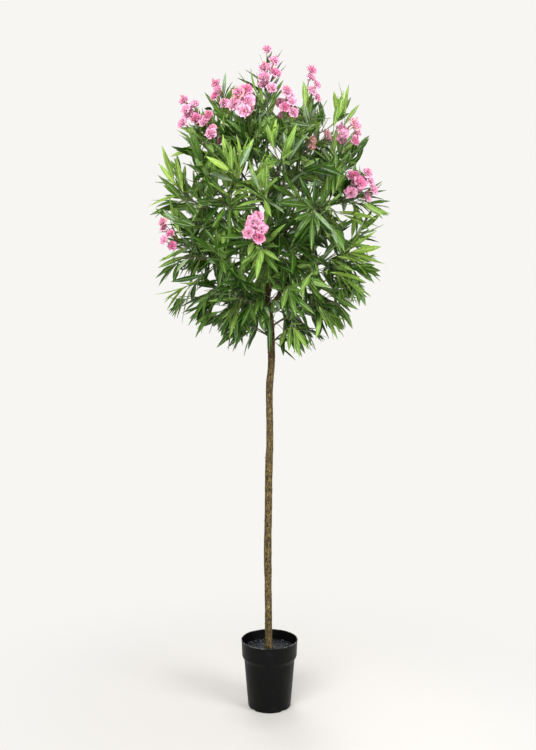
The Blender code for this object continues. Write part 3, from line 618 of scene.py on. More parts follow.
# Most stones are dark and some are lighter; the few pale ones are painted highlights, standing in for glints.
FILL_TONES_AND_GLINTS = (
    (0.0, (0.5, 0.5, 0.52)),
    (0.80, (1.3, 1.3, 1.35)),
    (0.90, (2.4, 2.5, 2.7)),
    (0.96, (12.0, 12.6, 13.4)),
    (1.0, (22.0, 22.6, 23.6)),
)
PEBBLES = 900
PEBBLE_FINENESS = 2
PEBBLE_SIZE = (0.0022, 0.0046)
PEBBLE_MARGIN = 0.004
PEBBLE_TURN = 0.2  # how unevenly they follow each other round
PEBBLE_SUNK = 0.0020
PEBBLE_HEIGHTS = (-0.0010, 0.0012)
PEBBLE_SHAPE = ((0.8, 1.2), (0.8, 1.2), (0.55, 0.8))  # along X, Y and Z, against its size
PEBBLE_LUMPS = 0.28
PEBBLE_LUMP_SCALE = 1.3


# ---------------------------------------------------------------- gathering small shapes into one mesh


class Heap:
    """Many small shapes gathered into one piece, with a material on each face and marks at each point.

    The marks say how far across and along its shape the point lies, and they hold the shape's tone.
    """

    def __init__(self):
        self.points = []
        self.faces = []
        self.kinds = []
        self.marks = []
        self.count = 0

    def add(self, points, faces, marks=None, kinds=None):
        points = np.asarray(points, float)
        self.points.append(points)
        self.faces.extend([tuple(int(i) + self.count for i in face) for face in faces])
        self.kinds.extend([0] * len(faces) if kinds is None else kinds)
        self.marks.append(np.zeros((len(points), 3)) if marks is None else np.asarray(marks, float))
        self.count += len(points)

    def piece(self, name, slot, materials, nodes):
        """Makes the heap a piece that stands for the nodes."""
        mesh = bpy.data.meshes.new(name)
        mesh.from_pydata(np.concatenate(self.points).tolist(), [], self.faces)
        mesh.polygons.foreach_set("material_index", self.kinds)
        mesh.polygons.foreach_set("use_smooth", [True] * len(self.faces))
        place = mesh.attributes.new("place", "FLOAT_VECTOR", "POINT")
        place.data.foreach_set("vector", np.concatenate(self.marks).ravel())
        for material in materials:
            mesh.materials.append(material)
        mesh.update()
        finish_piece(name, mesh, nodes)


def finish_piece(name, mesh, nodes):
    """Makes a piece that rides on the one body and stands for CAD nodes."""
    made = bpy.data.objects.new(name, mesh)
    bpy.context.scene.collection.objects.link(made)
    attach(made, "root")
    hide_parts(*nodes)


def chance_for(purpose):
    """The seeded random numbers for one purpose."""
    return random.Random(f"{SEED} {purpose}")


def grid_faces(across, along):
    """The faces between the points of a grid, row after row, with across points in each of the along rows."""
    starts = [row * across + column for row in range(along - 1) for column in range(across - 1)]
    return [(a, a + 1, a + across + 1, a + across) for a in starts]


def grid_marks(across, along, tone):
    """The marks of a grid's points, row after row, from its places across and along and its tone."""
    tones = np.full(len(across) * len(along), tone)
    return np.stack([np.tile(across, len(along)), np.repeat(along, len(across)), tones], axis=1)


def smooth_line(rows, steps):
    """Rows of numbers on a Catmull-Rom curve through the given rows, with steps spans between two of them."""
    knots = np.array([rows[0], *rows, rows[-1]], float)
    made = []
    for a, b, c, d in zip(knots, knots[1:], knots[2:], knots[3:]):
        for t in np.arange(steps) / steps:
            bend = (2 * a - 5 * b + 4 * c - d) * t**2 + (3 * b - a - 3 * c + d) * t**3
            made.append(0.5 * (2 * b + (c - a) * t + bend))
    made.append(knots[-1])
    return np.array(made)


def lengths_along(line):
    """The distance along a line at each of its points."""
    return np.concatenate([[0.0], np.cumsum(np.linalg.norm(np.diff(line, axis=0), axis=1))])


def frame_towards(direction, up):
    """A rotation whose Z is the direction and whose Y is as near to up as it can be."""
    z = direction.normalized()
    x = up.cross(z)
    if x.length < TINY:
        x = Vector((1, 0, 0)).cross(z)
    x.normalize()
    return Matrix((x, z.cross(x), z)).transposed()


def around(axis, angle, lean):
    """A direction at an angle round an axis, leaning away from the axis by lean."""
    flat = math.sin(lean)
    local = Vector((flat * math.cos(angle), flat * math.sin(angle), math.cos(lean)))
    return frame_towards(axis, UP) @ local


def tube(line, radii, sides, relief=None):
    """Points and faces of a closed tube along a line. A relief gives how far it swells at each point."""
    line = np.asarray(line, float)
    radii = np.broadcast_to(np.asarray(radii, float), (len(line),))
    heads = np.gradient(line, axis=0)
    heads /= np.linalg.norm(heads, axis=1)[:, None]
    side = np.array(Vector(heads[0]).orthogonal().normalized())
    distances = lengths_along(line)
    points = []
    for middle, head, radius, along in zip(line, heads, radii, distances):
        side = side - head * side.dot(head)
        side /= np.linalg.norm(side)
        other = np.cross(head, side)
        for i in range(sides):
            angle = i * math.tau / sides
            out = side * math.cos(angle) + other * math.sin(angle)
            swell = relief(angle, along, radius) if relief else 0.0
            points.append(middle + out * (radius + swell))
    faces = []
    for ring in range(len(line) - 1):
        for i in range(sides):
            a = ring * sides + i
            b = ring * sides + (i + 1) % sides
            faces.append((a, b, b + sides, a + sides))
    last = (len(line) - 1) * sides
    faces.append(tuple(range(sides - 1, -1, -1)))
    faces.append(tuple(range(last, last + sides)))
    return np.array(points), faces


# ---------------------------------------------------------------- materials


class Finish:
    """Builds one procedural material, a few nodes at a time."""

    def __init__(self, name, roughness=0.5, specular=0.5, **sockets):
        self.material = bpy.data.materials.new(name)
        self.material.use_nodes = True
        self.tree = self.material.node_tree
        self.shader = self.tree.nodes["Principled BSDF"]
        self.shader.inputs["Roughness"].default_value = roughness
        self.shader.inputs["Specular IOR Level"].default_value = specular
        for socket, value in sockets.items():
            self.shader.inputs[socket.replace("_", " ")].default_value = value
        self.coords = self.tree.nodes.new("ShaderNodeTexCoord").outputs["Object"]

    def node(self, kind, **settings):
        made = self.tree.nodes.new(kind)
        for key, value in settings.items():
            setattr(made, key, value)
        return made

    def link(self, output, target):
        self.tree.links.new(output, target)

    def stretched(self, stretch):
        """Object coordinates scaled along each axis."""
        if stretch == (1, 1, 1):
            return self.coords
        mapping = self.node("ShaderNodeMapping")
        mapping.inputs["Scale"].default_value = stretch
        self.link(self.coords, mapping.inputs["Vector"])
        return mapping.outputs["Vector"]

    def noise(self, scale, detail=3.0, stretch=(1, 1, 1), distortion=0.0):
        made = self.node("ShaderNodeTexNoise")
        made.inputs["Scale"].default_value = scale
        made.inputs["Detail"].default_value = detail
        made.inputs["Distortion"].default_value = distortion
        self.link(self.stretched(stretch), made.inputs["Vector"])
        return made.outputs["Fac"]

    def cells(self, scale, stretch=(1, 1, 1)):
        made = self.node("ShaderNodeTexVoronoi")
        made.inputs["Scale"].default_value = scale
        self.link(self.stretched(stretch), made.inputs["Vector"])
        return made.outputs["Distance"]

    def ramp(self, value, stops):
        """Colours that a value runs through. Each stop is a position and a colour."""
        made = self.node("ShaderNodeValToRGB")
        line = made.color_ramp
        while len(line.elements) < len(stops):
            line.elements.new(0.5)
        for element, (position, colour) in zip(line.elements, stops):
            element.position = position
            element.color = (*colour, 1.0)
        self.link(value, made.inputs["Fac"])
        return made.outputs["Color"]

    def blend(self, mode, factor, first, second):
        """Two colours mixed. The factor is a number or an output."""
        made = self.node("ShaderNodeMix", data_type="RGBA", blend_type=mode)
        if isinstance(factor, (int, float)):
            made.inputs["Factor"].default_value = factor
        else:
            self.link(factor, made.inputs["Factor"])
        for value, socket in ((first, made.inputs[6]), (second, made.inputs[7])):
            if isinstance(value, tuple):
                socket.default_value = (*value, 1.0)
            else:
                self.link(value, socket)
        return made.outputs[2]

    def maths(self, operation, first, second=0.0):
        """One sum, product or function of numbers or outputs."""
        made = self.node("ShaderNodeMath", operation=operation)
        for value, socket in ((first, made.inputs[0]), (second, made.inputs[1])):
            if isinstance(value, (int, float)):
                socket.default_value = value
            else:
                self.link(value, socket)
        return made.outputs[0]

    def remap(self, value, low, high, start=0.0, end=1.0, **settings):
        """A value that runs from start to end, spread between low and high."""
        made = self.node("ShaderNodeMapRange", **settings)
        for socket, number in (("From Min", start), ("From Max", end), ("To Min", low), ("To Max", high)):
            made.inputs[socket].default_value = number
        self.link(value, made.inputs["Value"])
        return made.outputs["Result"]

    def coordinate(self, axis):
        """The object coordinate along X, Y or Z."""
        split = self.node("ShaderNodeSeparateXYZ")
        self.link(self.coords, split.inputs["Vector"])
        return split.outputs[axis]

    def place(self):
        """(across, along, tone): the marks of a heap's points."""
        attribute = self.node("ShaderNodeAttribute", attribute_name="place")
        split = self.node("ShaderNodeSeparateXYZ")
        self.link(attribute.outputs["Vector"], split.inputs["Vector"])
        return split.outputs["X"], split.outputs["Y"], split.outputs["Z"]

    def colour(self, output):
        self.link(output, self.shader.inputs["Base Color"])

    def roughness(self, output):
        self.link(output, self.shader.inputs["Roughness"])

    def bump(self, height, distance, strength=1.0):
        made = self.node("ShaderNodeBump")
        made.inputs["Distance"].default_value = distance
        made.inputs["Strength"].default_value = strength
        self.link(height, made.inputs["Height"])
        self.link(made.outputs["Normal"], self.shader.inputs["Normal"])


def shade(colour, factor):
    return tuple(min(1.0, channel * factor) for channel in colour)


def shades(colour, brightness):
    """A ramp's stops in one colour, from each stop's position and brightness."""
    return [(position, shade(colour, factor)) for position, factor in brightness]


def leaf_finish(name, colour, rough):
    """Printed fabric: mottled, each leaf in its own tone, yellower at the foot, with fine side veins."""
    made = Finish(name, specular=0.17)
    across, along, tone = made.place()
    mottle = made.noise(scale=85, detail=4)
    base = made.ramp(mottle, shades(colour, LEAF_MOTTLE))
    toned = made.blend("MULTIPLY", 1.0, base, made.ramp(tone, LEAF_TONES))
    made.colour(made.blend("MULTIPLY", 1.0, toned, made.ramp(along, LEAF_ALONG_TONES)))
    low, high = rough - LEAF_ROUGH_BELOW, rough + LEAF_ROUGH_ABOVE
    made.roughness(made.remap(made.noise(scale=140), low, high))
    rows = made.maths("MULTIPLY", along, LEAF_VEINS)
    slope = made.maths("MULTIPLY", made.maths("ABSOLUTE", across), LEAF_VEIN_SLANT)
    turns = made.maths("SUBTRACT", rows, slope)
    veins = made.maths("SINE", made.maths("MULTIPLY", turns, math.tau))
    shallow = made.maths("MULTIPLY", veins, LEAF_VEIN_DEPTH)
    made.bump(made.maths("ADD", shallow, made.noise(scale=900)), distance=0.00022, strength=0.4)
    return made.material


def plain_finish(name, look):
    """A surface whose colour runs through a look's stops by noise, with a fine relief."""
    made = Finish(name, specular=look.specular)
    made.colour(made.ramp(made.noise(look.scale, detail=5), look.stops))
    made.roughness(made.remap(made.noise(look.scale * ROUGHNESS_FINER), *look.rough))
    made.bump(made.noise(look.relief_scale, detail=4), look.relief)
    return made.material


def midrib_look(colour):
    return PlainLook(shades(colour, MIDRIB_MOTTLE), 200, (0.45, 0.65), 0.0002, 1500)


def bark_finish():
    """Grey-brown bark: dark cracks and tan scales, browner near the crown."""
    made = Finish("bark", specular=0.18)
    scales = made.noise(scale=230, detail=7, stretch=(1, 1, 0.55), distortion=1.2)
    base = made.ramp(scales, BARK_COLOURS)
    cracks = made.ramp(made.cells(scale=300, stretch=(1, 1, 0.45)), BARK_CRACK_TONES)
    cracked = made.blend("MULTIPLY", BARK_CRACK_STRENGTH, base, cracks)
    rise = made.remap(made.coordinate("Z"), 0.0, 1.0, *BARK_BROWNS_BETWEEN)
    made.colour(made.blend("MULTIPLY", rise, cracked, BARK_CROWN_TONE))
    made.roughness(made.remap(scales, low=0.70, high=0.95))
    grain = made.noise(scale=420, detail=5, stretch=(1, 1, 0.5))
    made.bump(made.maths("ADD", grain, scales), distance=0.0012, strength=0.9)
    return made.material


def petal_finish(name, colour):
    """Soft fabric petals: deep at the foot with streaks that run outwards, paler at the edge."""
    made = Finish(name, specular=0.3, roughness=0.65, Sheen_Weight=0.25)
    _, along, tone = made.place()
    streak = made.maths("MULTIPLY", made.noise(scale=330, detail=3), PETAL_STREAKS)
    reach = made.maths("ADD", along, made.maths("SUBTRACT", streak, PETAL_STREAKS / 2))
    base = made.ramp(reach, shades(THROAT_COLOUR, PETAL_FOOT_BRIGHTNESS) + shades(colour, PETAL_BRIGHTNESS))
    made.colour(made.blend("MULTIPLY", 1.0, base, made.ramp(tone, PETAL_TONES)))
    made.bump(made.noise(scale=700, detail=2), distance=0.0003, strength=0.6)
    return made.material


# ---------------------------------------------------------------- pot and filling


def rounded(corners, radius):
    """The corners of an open outline, with each inner one replaced by an arc."""
    made = [corners[0]]
    for before, corner, after in zip(corners, corners[1:], corners[2:]):
        here, back, ahead = Vector(corner), Vector(before), Vector(after)
        reach = min(radius, (back - here).length / ARCS_ON_SIDE, (ahead - here).length / ARCS_ON_SIDE)
        start = here + (back - here).normalized() * reach
        end = here + (ahead - here).normalized() * reach
        first, second = start.lerp(here, ARC_HANDLE), end.lerp(here, ARC_HANDLE)
        made += [tuple(p) for p in interpolate_bezier(start, first, second, end, ROUNDING_STEPS)]
    made.append(corners[-1])
    return made


def turned(name, outline, steps):
    """A mesh turned round Z from an outline that starts and ends on the axis."""
    bm = bmesh.new()
    corners = [bm.verts.new((radius, 0.0, height)) for radius, height in outline]
    for a, b in zip(corners, corners[1:]):
        bm.edges.new((a, b))
    drawn = bm.verts[:] + bm.edges[:]
    bmesh.ops.spin(bm, geom=drawn, cent=(0, 0, 0), axis=UP, dvec=(0, 0, 0), angle=math.tau, steps=steps)
    bmesh.ops.remove_doubles(bm, verts=bm.verts, dist=TINY)
    bmesh.ops.recalc_face_normals(bm, faces=bm.faces)
    mesh = bpy.data.meshes.new(name)
    bm.to_mesh(mesh)
    bm.free()
    return mesh


def wall_radius(height):
    return BASE_RADIUS + (WALL_TOP_RADIUS - BASE_RADIUS) * height / WALL_TOP


def pot_outline():
    """The pot's section: up its inside from the middle of its floor, and down its outside."""
    inside = [
        (0.0, POT_WALL),
        (wall_radius(POT_WALL) - POT_WALL, POT_WALL),
        (WALL_TOP_RADIUS - POT_WALL, WALL_TOP),
        (RIM_RADIUS - RIM_TAPER - POT_WALL, BAND_FOOT),
        (RIM_RADIUS - POT_WALL - POT_LIP, POT_HEIGHT - LIP_HEIGHT),
        (RIM_RADIUS - POT_WALL - POT_LIP, POT_HEIGHT),
    ]
    roll_start, roll_end = LIP_ROLL_DROPS
    ledge_top, ledge_foot = STEP_RISES
    line_top, line_foot = FOOT_LINE
    outside = [
        (RIM_RADIUS, POT_HEIGHT),
        (RIM_RADIUS, POT_HEIGHT - roll_start),
        (RIM_RADIUS - LIP_ROLL, POT_HEIGHT - roll_end),
        (RIM_RADIUS - RIM_TAPER, BAND_FOOT),
        (WALL_TOP_RADIUS + STEP_LEDGE, WALL_TOP + ledge_top),
        (WALL_TOP_RADIUS, WALL_TOP + ledge_foot),
        (wall_radius(line_top), line_top),
        (wall_radius(line_foot) - STEP_LEDGE, line_foot),
        (wall_radius(BASE_EDGE) - FOOT_CHAMFER, BASE_EDGE),
        (BASE_RADIUS - BASE_EDGE, 0.0),
        (0.0, 0.0),
    ]
    return rounded(inside + outside, POT_ROUNDING)


def make_drain_cutters():
    """Rounded blocks, in a collection of their own, that cut the drainage notches."""
    cutters = bpy.data.collections.new("drain_cutters")
    for i in range(DRAIN_COUNT):
        angle = DRAIN_FIRST_ANGLE + i * math.tau / DRAIN_COUNT
        bm = bmesh.new()
        bmesh.ops.create_cube(bm, size=1.0)
        bmesh.ops.scale(bm, vec=DRAIN_SIZE, verts=bm.verts)
        edges = bm.edges[:]
        bmesh.ops.bevel(bm, geom=edges, offset=DRAIN_ROUNDING, segments=DRAIN_ROUNDING_STEPS, affect="EDGES")
        shape = bpy.data.meshes.new("drain_cutter")
        bm.to_mesh(shape)
        bm.free()
        cutter = bpy.data.objects.new("drain_cutter", shape)
        cutter.location = (BASE_RADIUS * math.cos(angle), BASE_RADIUS * math.sin(angle), 0.0)
        cutter.rotation_euler.z = angle
        cutters.objects.link(cutter)
    return cutters


def make_pot():
    pot = bpy.data.objects.new("pot_blank", turned("pot_shell", pot_outline(), POT_STEPS))
    bpy.context.scene.collection.objects.link(pot)
    cutters = make_drain_cutters()
    cut = pot.modifiers.new("drains", "BOOLEAN")
    cut.operand_type = "COLLECTION"
    cut.collection = cutters
    cut.solver = "EXACT"
    bpy.context.view_layer.update()
    graph = bpy.context.evaluated_depsgraph_get()
    shell = bpy.data.meshes.new_from_object(pot.evaluated_get(graph))
    shell.name = "pot_shell"
    for obj in [pot, *cutters.objects]:
        bpy.data.objects.remove(obj)
    bpy.data.collections.remove(cutters)
    shell.materials.clear()
    shell.materials.append(pot_finish())
    shell.shade_smooth()
    shell.set_sharp_from_angle(angle=POT_SHARP)
    finish_piece("pot_shell", shell, ["pot"])


def pot_finish():
    """Moulded black plastic: fine grain and faint dusty scuffs, and a lip painted pale here and there: painted
    glints.
    """
    made = Finish("pot_plastic", specular=0.10)
    plastic = made.ramp(made.noise(scale=38, detail=6), POT_COLOURS)
    # painted glints: the lip's top painted pale in patches
    at_lip = made.remap(made.coordinate("Z"), 0.0, 1.0, POT_HEIGHT - LIP_GLINT_DEPTH, POT_HEIGHT)
    lip_glints = made.ramp(made.noise(scale=62, detail=2), LIP_GLINT_PATCHES)
    made.colour(made.blend("MIX", made.maths("MULTIPLY", at_lip, lip_glints), plastic, LIP_GLINT_COLOUR))
    scuffs = made.noise(scale=60, detail=5, stretch=(1, 1, 0.25))
    made.roughness(made.remap(scuffs, low=0.32, high=0.52))
    grain = made.noise(scale=1400, detail=2)
    dents = made.maths("MULTIPLY", made.noise(scale=30), POT_DENTS)
    made.bump(made.maths("ADD", grain, dents), distance=0.00018, strength=0.7)
    return made.material


def make_filling():
    """The fill's body, slightly domed, which the stones lie on."""
    top = FILL_HIGH.z
    edge_inset, edge_drop = FILL_EDGE
    outline = [(0.0, top - FILL_SUNK)]
    outline += [(FILL_RADIUS * share, top - FILL_SUNK - FILL_DOME * share**2) for share in FILL_DOME_SHARES]
    outline += [
        (FILL_RADIUS - edge_inset, top - edge_drop),
        (RIM_RADIUS - RIM_TAPER - FILL_GAP, BAND_FOOT),
        (WALL_TOP_RADIUS - FILL_GAP, WALL_TOP),
        (wall_radius(FILL_FLOOR) - FILL_GAP, FILL_FLOOR),
        (0.0, FILL_FLOOR),
    ]
    mesh = turned("filling_body", outline, FILL_STEPS)
    mesh.shade_smooth()
    mesh.materials.append(fill_finish("fill_body", FILL_BODY_BRIGHTNESS))
    finish_piece("filling_body", mesh, ["filling"])


def ball_shape():
    """The points and faces of a ball of radius 1."""
    bm = bmesh.new()
    bmesh.ops.create_icosphere(bm, subdivisions=PEBBLE_FINENESS, radius=1.0)
    points = np.array([v.co for v in bm.verts])
    faces = [[v.index for v in face.verts] for face in bm.faces]
    bm.free()
    return points, faces


def make_stones():
    """Flattened lumpy stones, spread evenly over the fill and each with a tone of its own; the palest stand in
    for glints.
    """
    stones = Heap()
    rng = chance_for("pebbles")
    ball, faces = ball_shape()
    for i in range(PEBBLES):
        reach = (FILL_RADIUS - PEBBLE_MARGIN) * math.sqrt((i + 0.5) / PEBBLES)
        angle = i * GOLDEN_ANGLE + rng.uniform(-PEBBLE_TURN, PEBBLE_TURN)
        size = rng.uniform(*PEBBLE_SIZE)
        seat = FILL_HIGH.z - PEBBLE_SUNK - FILL_DOME * (reach / FILL_RADIUS) ** 2
        height = seat + rng.uniform(*PEBBLE_HEIGHTS)
        middle = np.array((reach * math.cos(angle), reach * math.sin(angle), height))
        lumps = [noise.noise(Vector(point) * PEBBLE_LUMP_SCALE + Vector((i, 0, 0))) for point in ball]
        squash = np.array([rng.uniform(*limits) for limits in PEBBLE_SHAPE])
        turn = np.array(Matrix.Rotation(rng.random() * math.tau, 3, "Z"))
        shape = (ball * (1.0 + PEBBLE_LUMPS * np.array(lumps))[:, None] * squash * size) @ turn.T
        stones.add(shape + middle, faces, np.tile((0, 0, rng.random()), (len(ball), 1)))
    stones.piece("filling_stones", "filling", [fill_finish("fill_stones", 1.0)], ["filling"])


def fill_finish(name, brightness):
    """Dark stone with a bluish cast, slightly wet-looking, with a few stones painted pale as glints."""
    made = Finish(name, specular=0.22)
    _, _, tone = made.place()
    dark, light = shade(FILL_DARK, brightness), shade(FILL_LIGHT, brightness)
    stops = shades(dark, FILL_MOTTLE) + [(FILL_LIGHT_FROM, light)]
    speckle = made.ramp(made.noise(scale=500, detail=4), stops)
    made.colour(made.blend("MULTIPLY", 1.0, speckle, made.ramp(tone, FILL_TONES_AND_GLINTS)))
    made.roughness(made.remap(made.noise(scale=300), low=0.34, high=0.62))
    made.bump(made.noise(scale=900, detail=4), distance=0.0004, strength=0.7)
    return made.material


# ---------------------------------------------------------------- trunk, boughs and stems


def trunk_rows(steps):
    """The trunk's centreline and radius, as rows of x, y, z and radius."""
    return smooth_line([(x, y, z, radius) for z, x, y, radius in TRUNK_LINE], steps)


def limb_path(tip, root_height, rows):
    """The line from the trunk's centre to a mass's tip: a Bezier curve that leaves the trunk outwards."""
    root = Vector([float(np.interp(root_height, rows[:, 2], rows[:, i])) for i in range(3)])
    tip = Vector(tip)
    out = Vector((tip.x - root.x, tip.y - root.y, 0.0))
    rise = tip.z - root.z
    handles = UPRIGHT_LIMB if tip.z > UPRIGHT_ABOVE else SPREADING_LIMB
    first, second = (root + way * out + (climb * rise + lift) * UP for way, climb, lift in handles)
    return interpolate_bezier(root, first, second, tip, LIMB_POINTS)


def bark_relief(shift, depth):
    """Ridges that run along a limb, knots that swell it and fine scales between them."""

    def relief(angle, along, radius):
        x, y = math.cos(angle) * radius, math.sin(angle) * radius

        def rough(fineness, offset):
            across, lengthways = fineness
            return noise.noise(Vector((x * across, y * across, along * lengthways + offset)))

        ridges, knots, scales = rough(RIDGES, shift), rough(KNOTS, -shift), rough(SCALES, shift)
        by_ridges, by_knots, by_scales = RELIEF_SHARES
        swell = by_ridges * ridges + by_knots * max(0.0, knots - KNOTS_ABOVE) + by_scales * scales
        return depth * radius * swell

    return relief


def collared(line, radii, collar):
    """Radii that swell towards the foot, where a limb leaves what carries it."""
    wider, reach = collar
    return radii * (1.0 + wider * np.exp(-lengths_along(line) / reach))


def make_trunk(bark):
    rows = trunk_rows(TRUNK_FINENESS)
    heap = Heap()
    line, radii = rows[:, :3], rows[:, 3]
    heap.add(*tube(line, collared(line, radii, TRUNK_COLLAR), TRUNK_SIDES, bark_relief(0.0, TRUNK_RELIEF)))
    rng = chance_for("nubs")
    distances = lengths_along(line)
    shares, nub_radii = zip(*NUB_OUTLINE)
    for i in range(NUBS):
        at = int(np.searchsorted(distances, distances[-1] * (i + rng.uniform(*NUB_UNEVEN)) / NUB_SPACES))
        out = around(UP, i * GOLDEN_ANGLE, NUB_LEAN)
        foot = Vector(line[at]) + out * radii[at] * NUB_FROM
        tip = foot + out * (rng.uniform(*NUB_LENGTH) + NUB_SUNK_LENGTH)
        spine = np.array([foot.lerp(tip, share) for share in shares])
        heap.add(*tube(spine, nub_radii, TWIG_SIDES))
    heap.piece("trunk_bark", "bark", [bark], ["trunk"])


def make_boughs(limbs, bark):
    heap = Heap()
    for number, (name, (line, split)) in enumerate(limbs.items()):
        if split:
            radii = np.linspace(MASSES[name][3], BOUGH_TIP_RADIUS, split + 1)
            part = line[: split + 1]
            relief = bark_relief(BOUGH_SHIFT * number, BOUGH_RELIEF)
            heap.add(*tube(part, collared(part, radii, BOUGH_COLLAR), BOUGH_SIDES, relief))
    heap.piece("bough_bark", "bark", [bark], BOUGH_NODES)


# ---------------------------------------------------------------- where leaves have room


class Room:
    """Where leaves and limbs already are, in cells, to keep the next leaf clear of them."""

    def __init__(self, cell):
        self.cell = cell
        self.held = {}

    def key(self, point):
        return tuple(int(math.floor(c / self.cell)) for c in point)

    def hold(self, points):
        for point in points:
            self.held.setdefault(self.key(point), []).append(tuple(point))

    def gap(self, points):
        """The least distance from the points to what is held, as far as one cell."""
        least = self.cell
        for point in points:
            i, j, k = self.key(point)
            for di in (-1, 0, 1):
                for dj in (-1, 0, 1):
                    for dk in (-1, 0, 1):
                        for other in self.held.get((i + di, j + dj, k + dk), ()):
                            least = min(least, math.dist(point, other))
        return least


def crown_reach(height):
    """The crown's outline: how far from the axis its leaves reach at a height."""
    heights, reaches = zip(*CROWN_OUTLINE)
    return float(np.interp(height, heights, reaches, left=0.0, right=0.0))


def inside(point, margin):
    """True if a point is in the crown, or at most a margin outside it."""
    return math.hypot(point[0], point[1]) <= crown_reach(min(point[2], CROWN_OUTLINE[-1][0])) + margin


def leaf_margin(point):
    """How far a leaf may pass the outline: it draws in between the places where leaves reach it."""
    return LEAF_OUT - LEAF_UNEVEN * max(0.0, noise.noise(Vector(point) * LEAF_UNEVEN_SCALE))


class Openings:
    """Where no leaf goes: sky seen through the crown, the view of front blossoms and clusters' room.

    A sight is a line across the camera's view, at the depth y from x, z to u, w. With it go the distance that
    leaves keep from it in the view, and the depth before which they do so. A rod is a start, a run and the
    distance that leaves keep from it.
    """

    def __init__(self):
        self.sights = [(x, 0.0, z, u, w, half + SKY_CLEARANCE, math.inf) for x, z, u, w, half in SKY]
        self.rods = []

    def clear_view(self, place):
        x, y, z = place
        self.sights.append((x, y, z, x, z, BLOSSOM_VIEW, y))

    def clear_room(self, place, direction, radius):
        self.rods.append((*place, *(direction * BLOSSOM_ROOM_LENGTH), radius))

    def keep_in_view(self, points):
        rows = [(x, y, z, x, z, CHOSEN_VIEW, y - CHOSEN_VIEW_BEFORE) for x, y, z in points]
        self.sights = np.concatenate([self.sights, np.array(rows)])

    def settle(self):
        self.sights = np.array(self.sights)
        self.rods = np.array(self.rods)

    def blocked(self, points):
        """True if any of the points is in an opening."""
        eye = np.array(CAMERA_PLACE)
        x, y, z, u, w, radius, limit = self.sights.T[:, :, None]
        share = (y - eye[1]) / (points[:, 1] - eye[1])
        across = eye[0] + (points[:, 0] - eye[0]) * share
        height = eye[2] + (points[:, 2] - eye[2]) * share
        run_x, run_z = u - x, w - z
        along = ((across - x) * run_x + (height - z) * run_z) / (run_x**2 + run_z**2 + TINY)
        along = np.clip(along, 0, 1)
        apart = np.hypot(across - x - along * run_x, height - z - along * run_z)
        if np.any((apart < radius) & (points[:, 1] < limit)):
            return True
        start, run = self.rods[:, None, :3], self.rods[:, None, 3:6]
        away = points[None] - start
        along = np.clip((away * run).sum(2) / (run**2).sum(2), 0, 1)
        return bool(np.any(np.linalg.norm(away - along[:, :, None] * run, axis=2) < self.rods[:, 6:]))


# ---------------------------------------------------------------- leaves


def leaf_points(place, axes, length, width, bend, twist, fold, wave):
    """The leaf's corners, four across at each station: edge, both sides of the midrib, edge."""
    steps = np.diff(LEAF_STATIONS) * length
    middle = bend * (LEAF_STATIONS[1:] + LEAF_STATIONS[:-1]) / 2
    y = -np.concatenate([[0.0], np.cumsum(np.sin(middle) * steps)])
    z = np.concatenate([[0.0], np.cumsum(np.cos(middle) * steps)])
    angle = bend * LEAF_STATIONS
    turn = twist * LEAF_STATIONS
    normal = np.stack([np.zeros_like(angle), np.cos(angle), np.sin(angle)], axis=1)
    aside = np.tile((1.0, 0.0, 0.0), (len(angle), 1))
    side = np.cos(turn)[:, None] * aside + np.sin(turn)[:, None] * normal
    face = -np.sin(turn)[:, None] * aside + np.cos(turn)[:, None] * normal
    centre = np.stack([np.zeros_like(y), y, z], axis=1)
    half = LEAF_OUTLINE * width / 2
    rib = np.minimum(LEAF_RIB * (1.0 - LEAF_RIB_TAPER * LEAF_STATIONS), LEAF_RIB_MOST * half)
    ripple = wave * np.sin(LEAF_STATIONS * LEAF_WAVES) * LEAF_OUTLINE
    columns = (
        centre - side * half[:, None] + face * (fold * half + ripple)[:, None],
        centre - side * rib[:, None] - face * LEAF_RIB_SINK,
        centre + side * rib[:, None] - face * LEAF_RIB_SINK,
        centre + side * half[:, None] + face * (fold * half - ripple)[:, None],
    )
    local = np.stack(columns, axis=1).reshape(-1, 3)
    return local @ axes.T + np.array(place)


LEAF_FACES = grid_faces(len(LEAF_ACROSS), len(LEAF_STATIONS))
LEAF_KINDS = [0, 1, 0] * (len(LEAF_STATIONS) - 1)  # blade, midrib, blade


def droop_at(height):
    """How strongly leaves hang at a height: positive low in the crown, negative at its top."""
    low, high = DROOP_LIMITS
    return min(high, max(low, (DROOP_MIDDLE - height) / DROOP_SPAN))


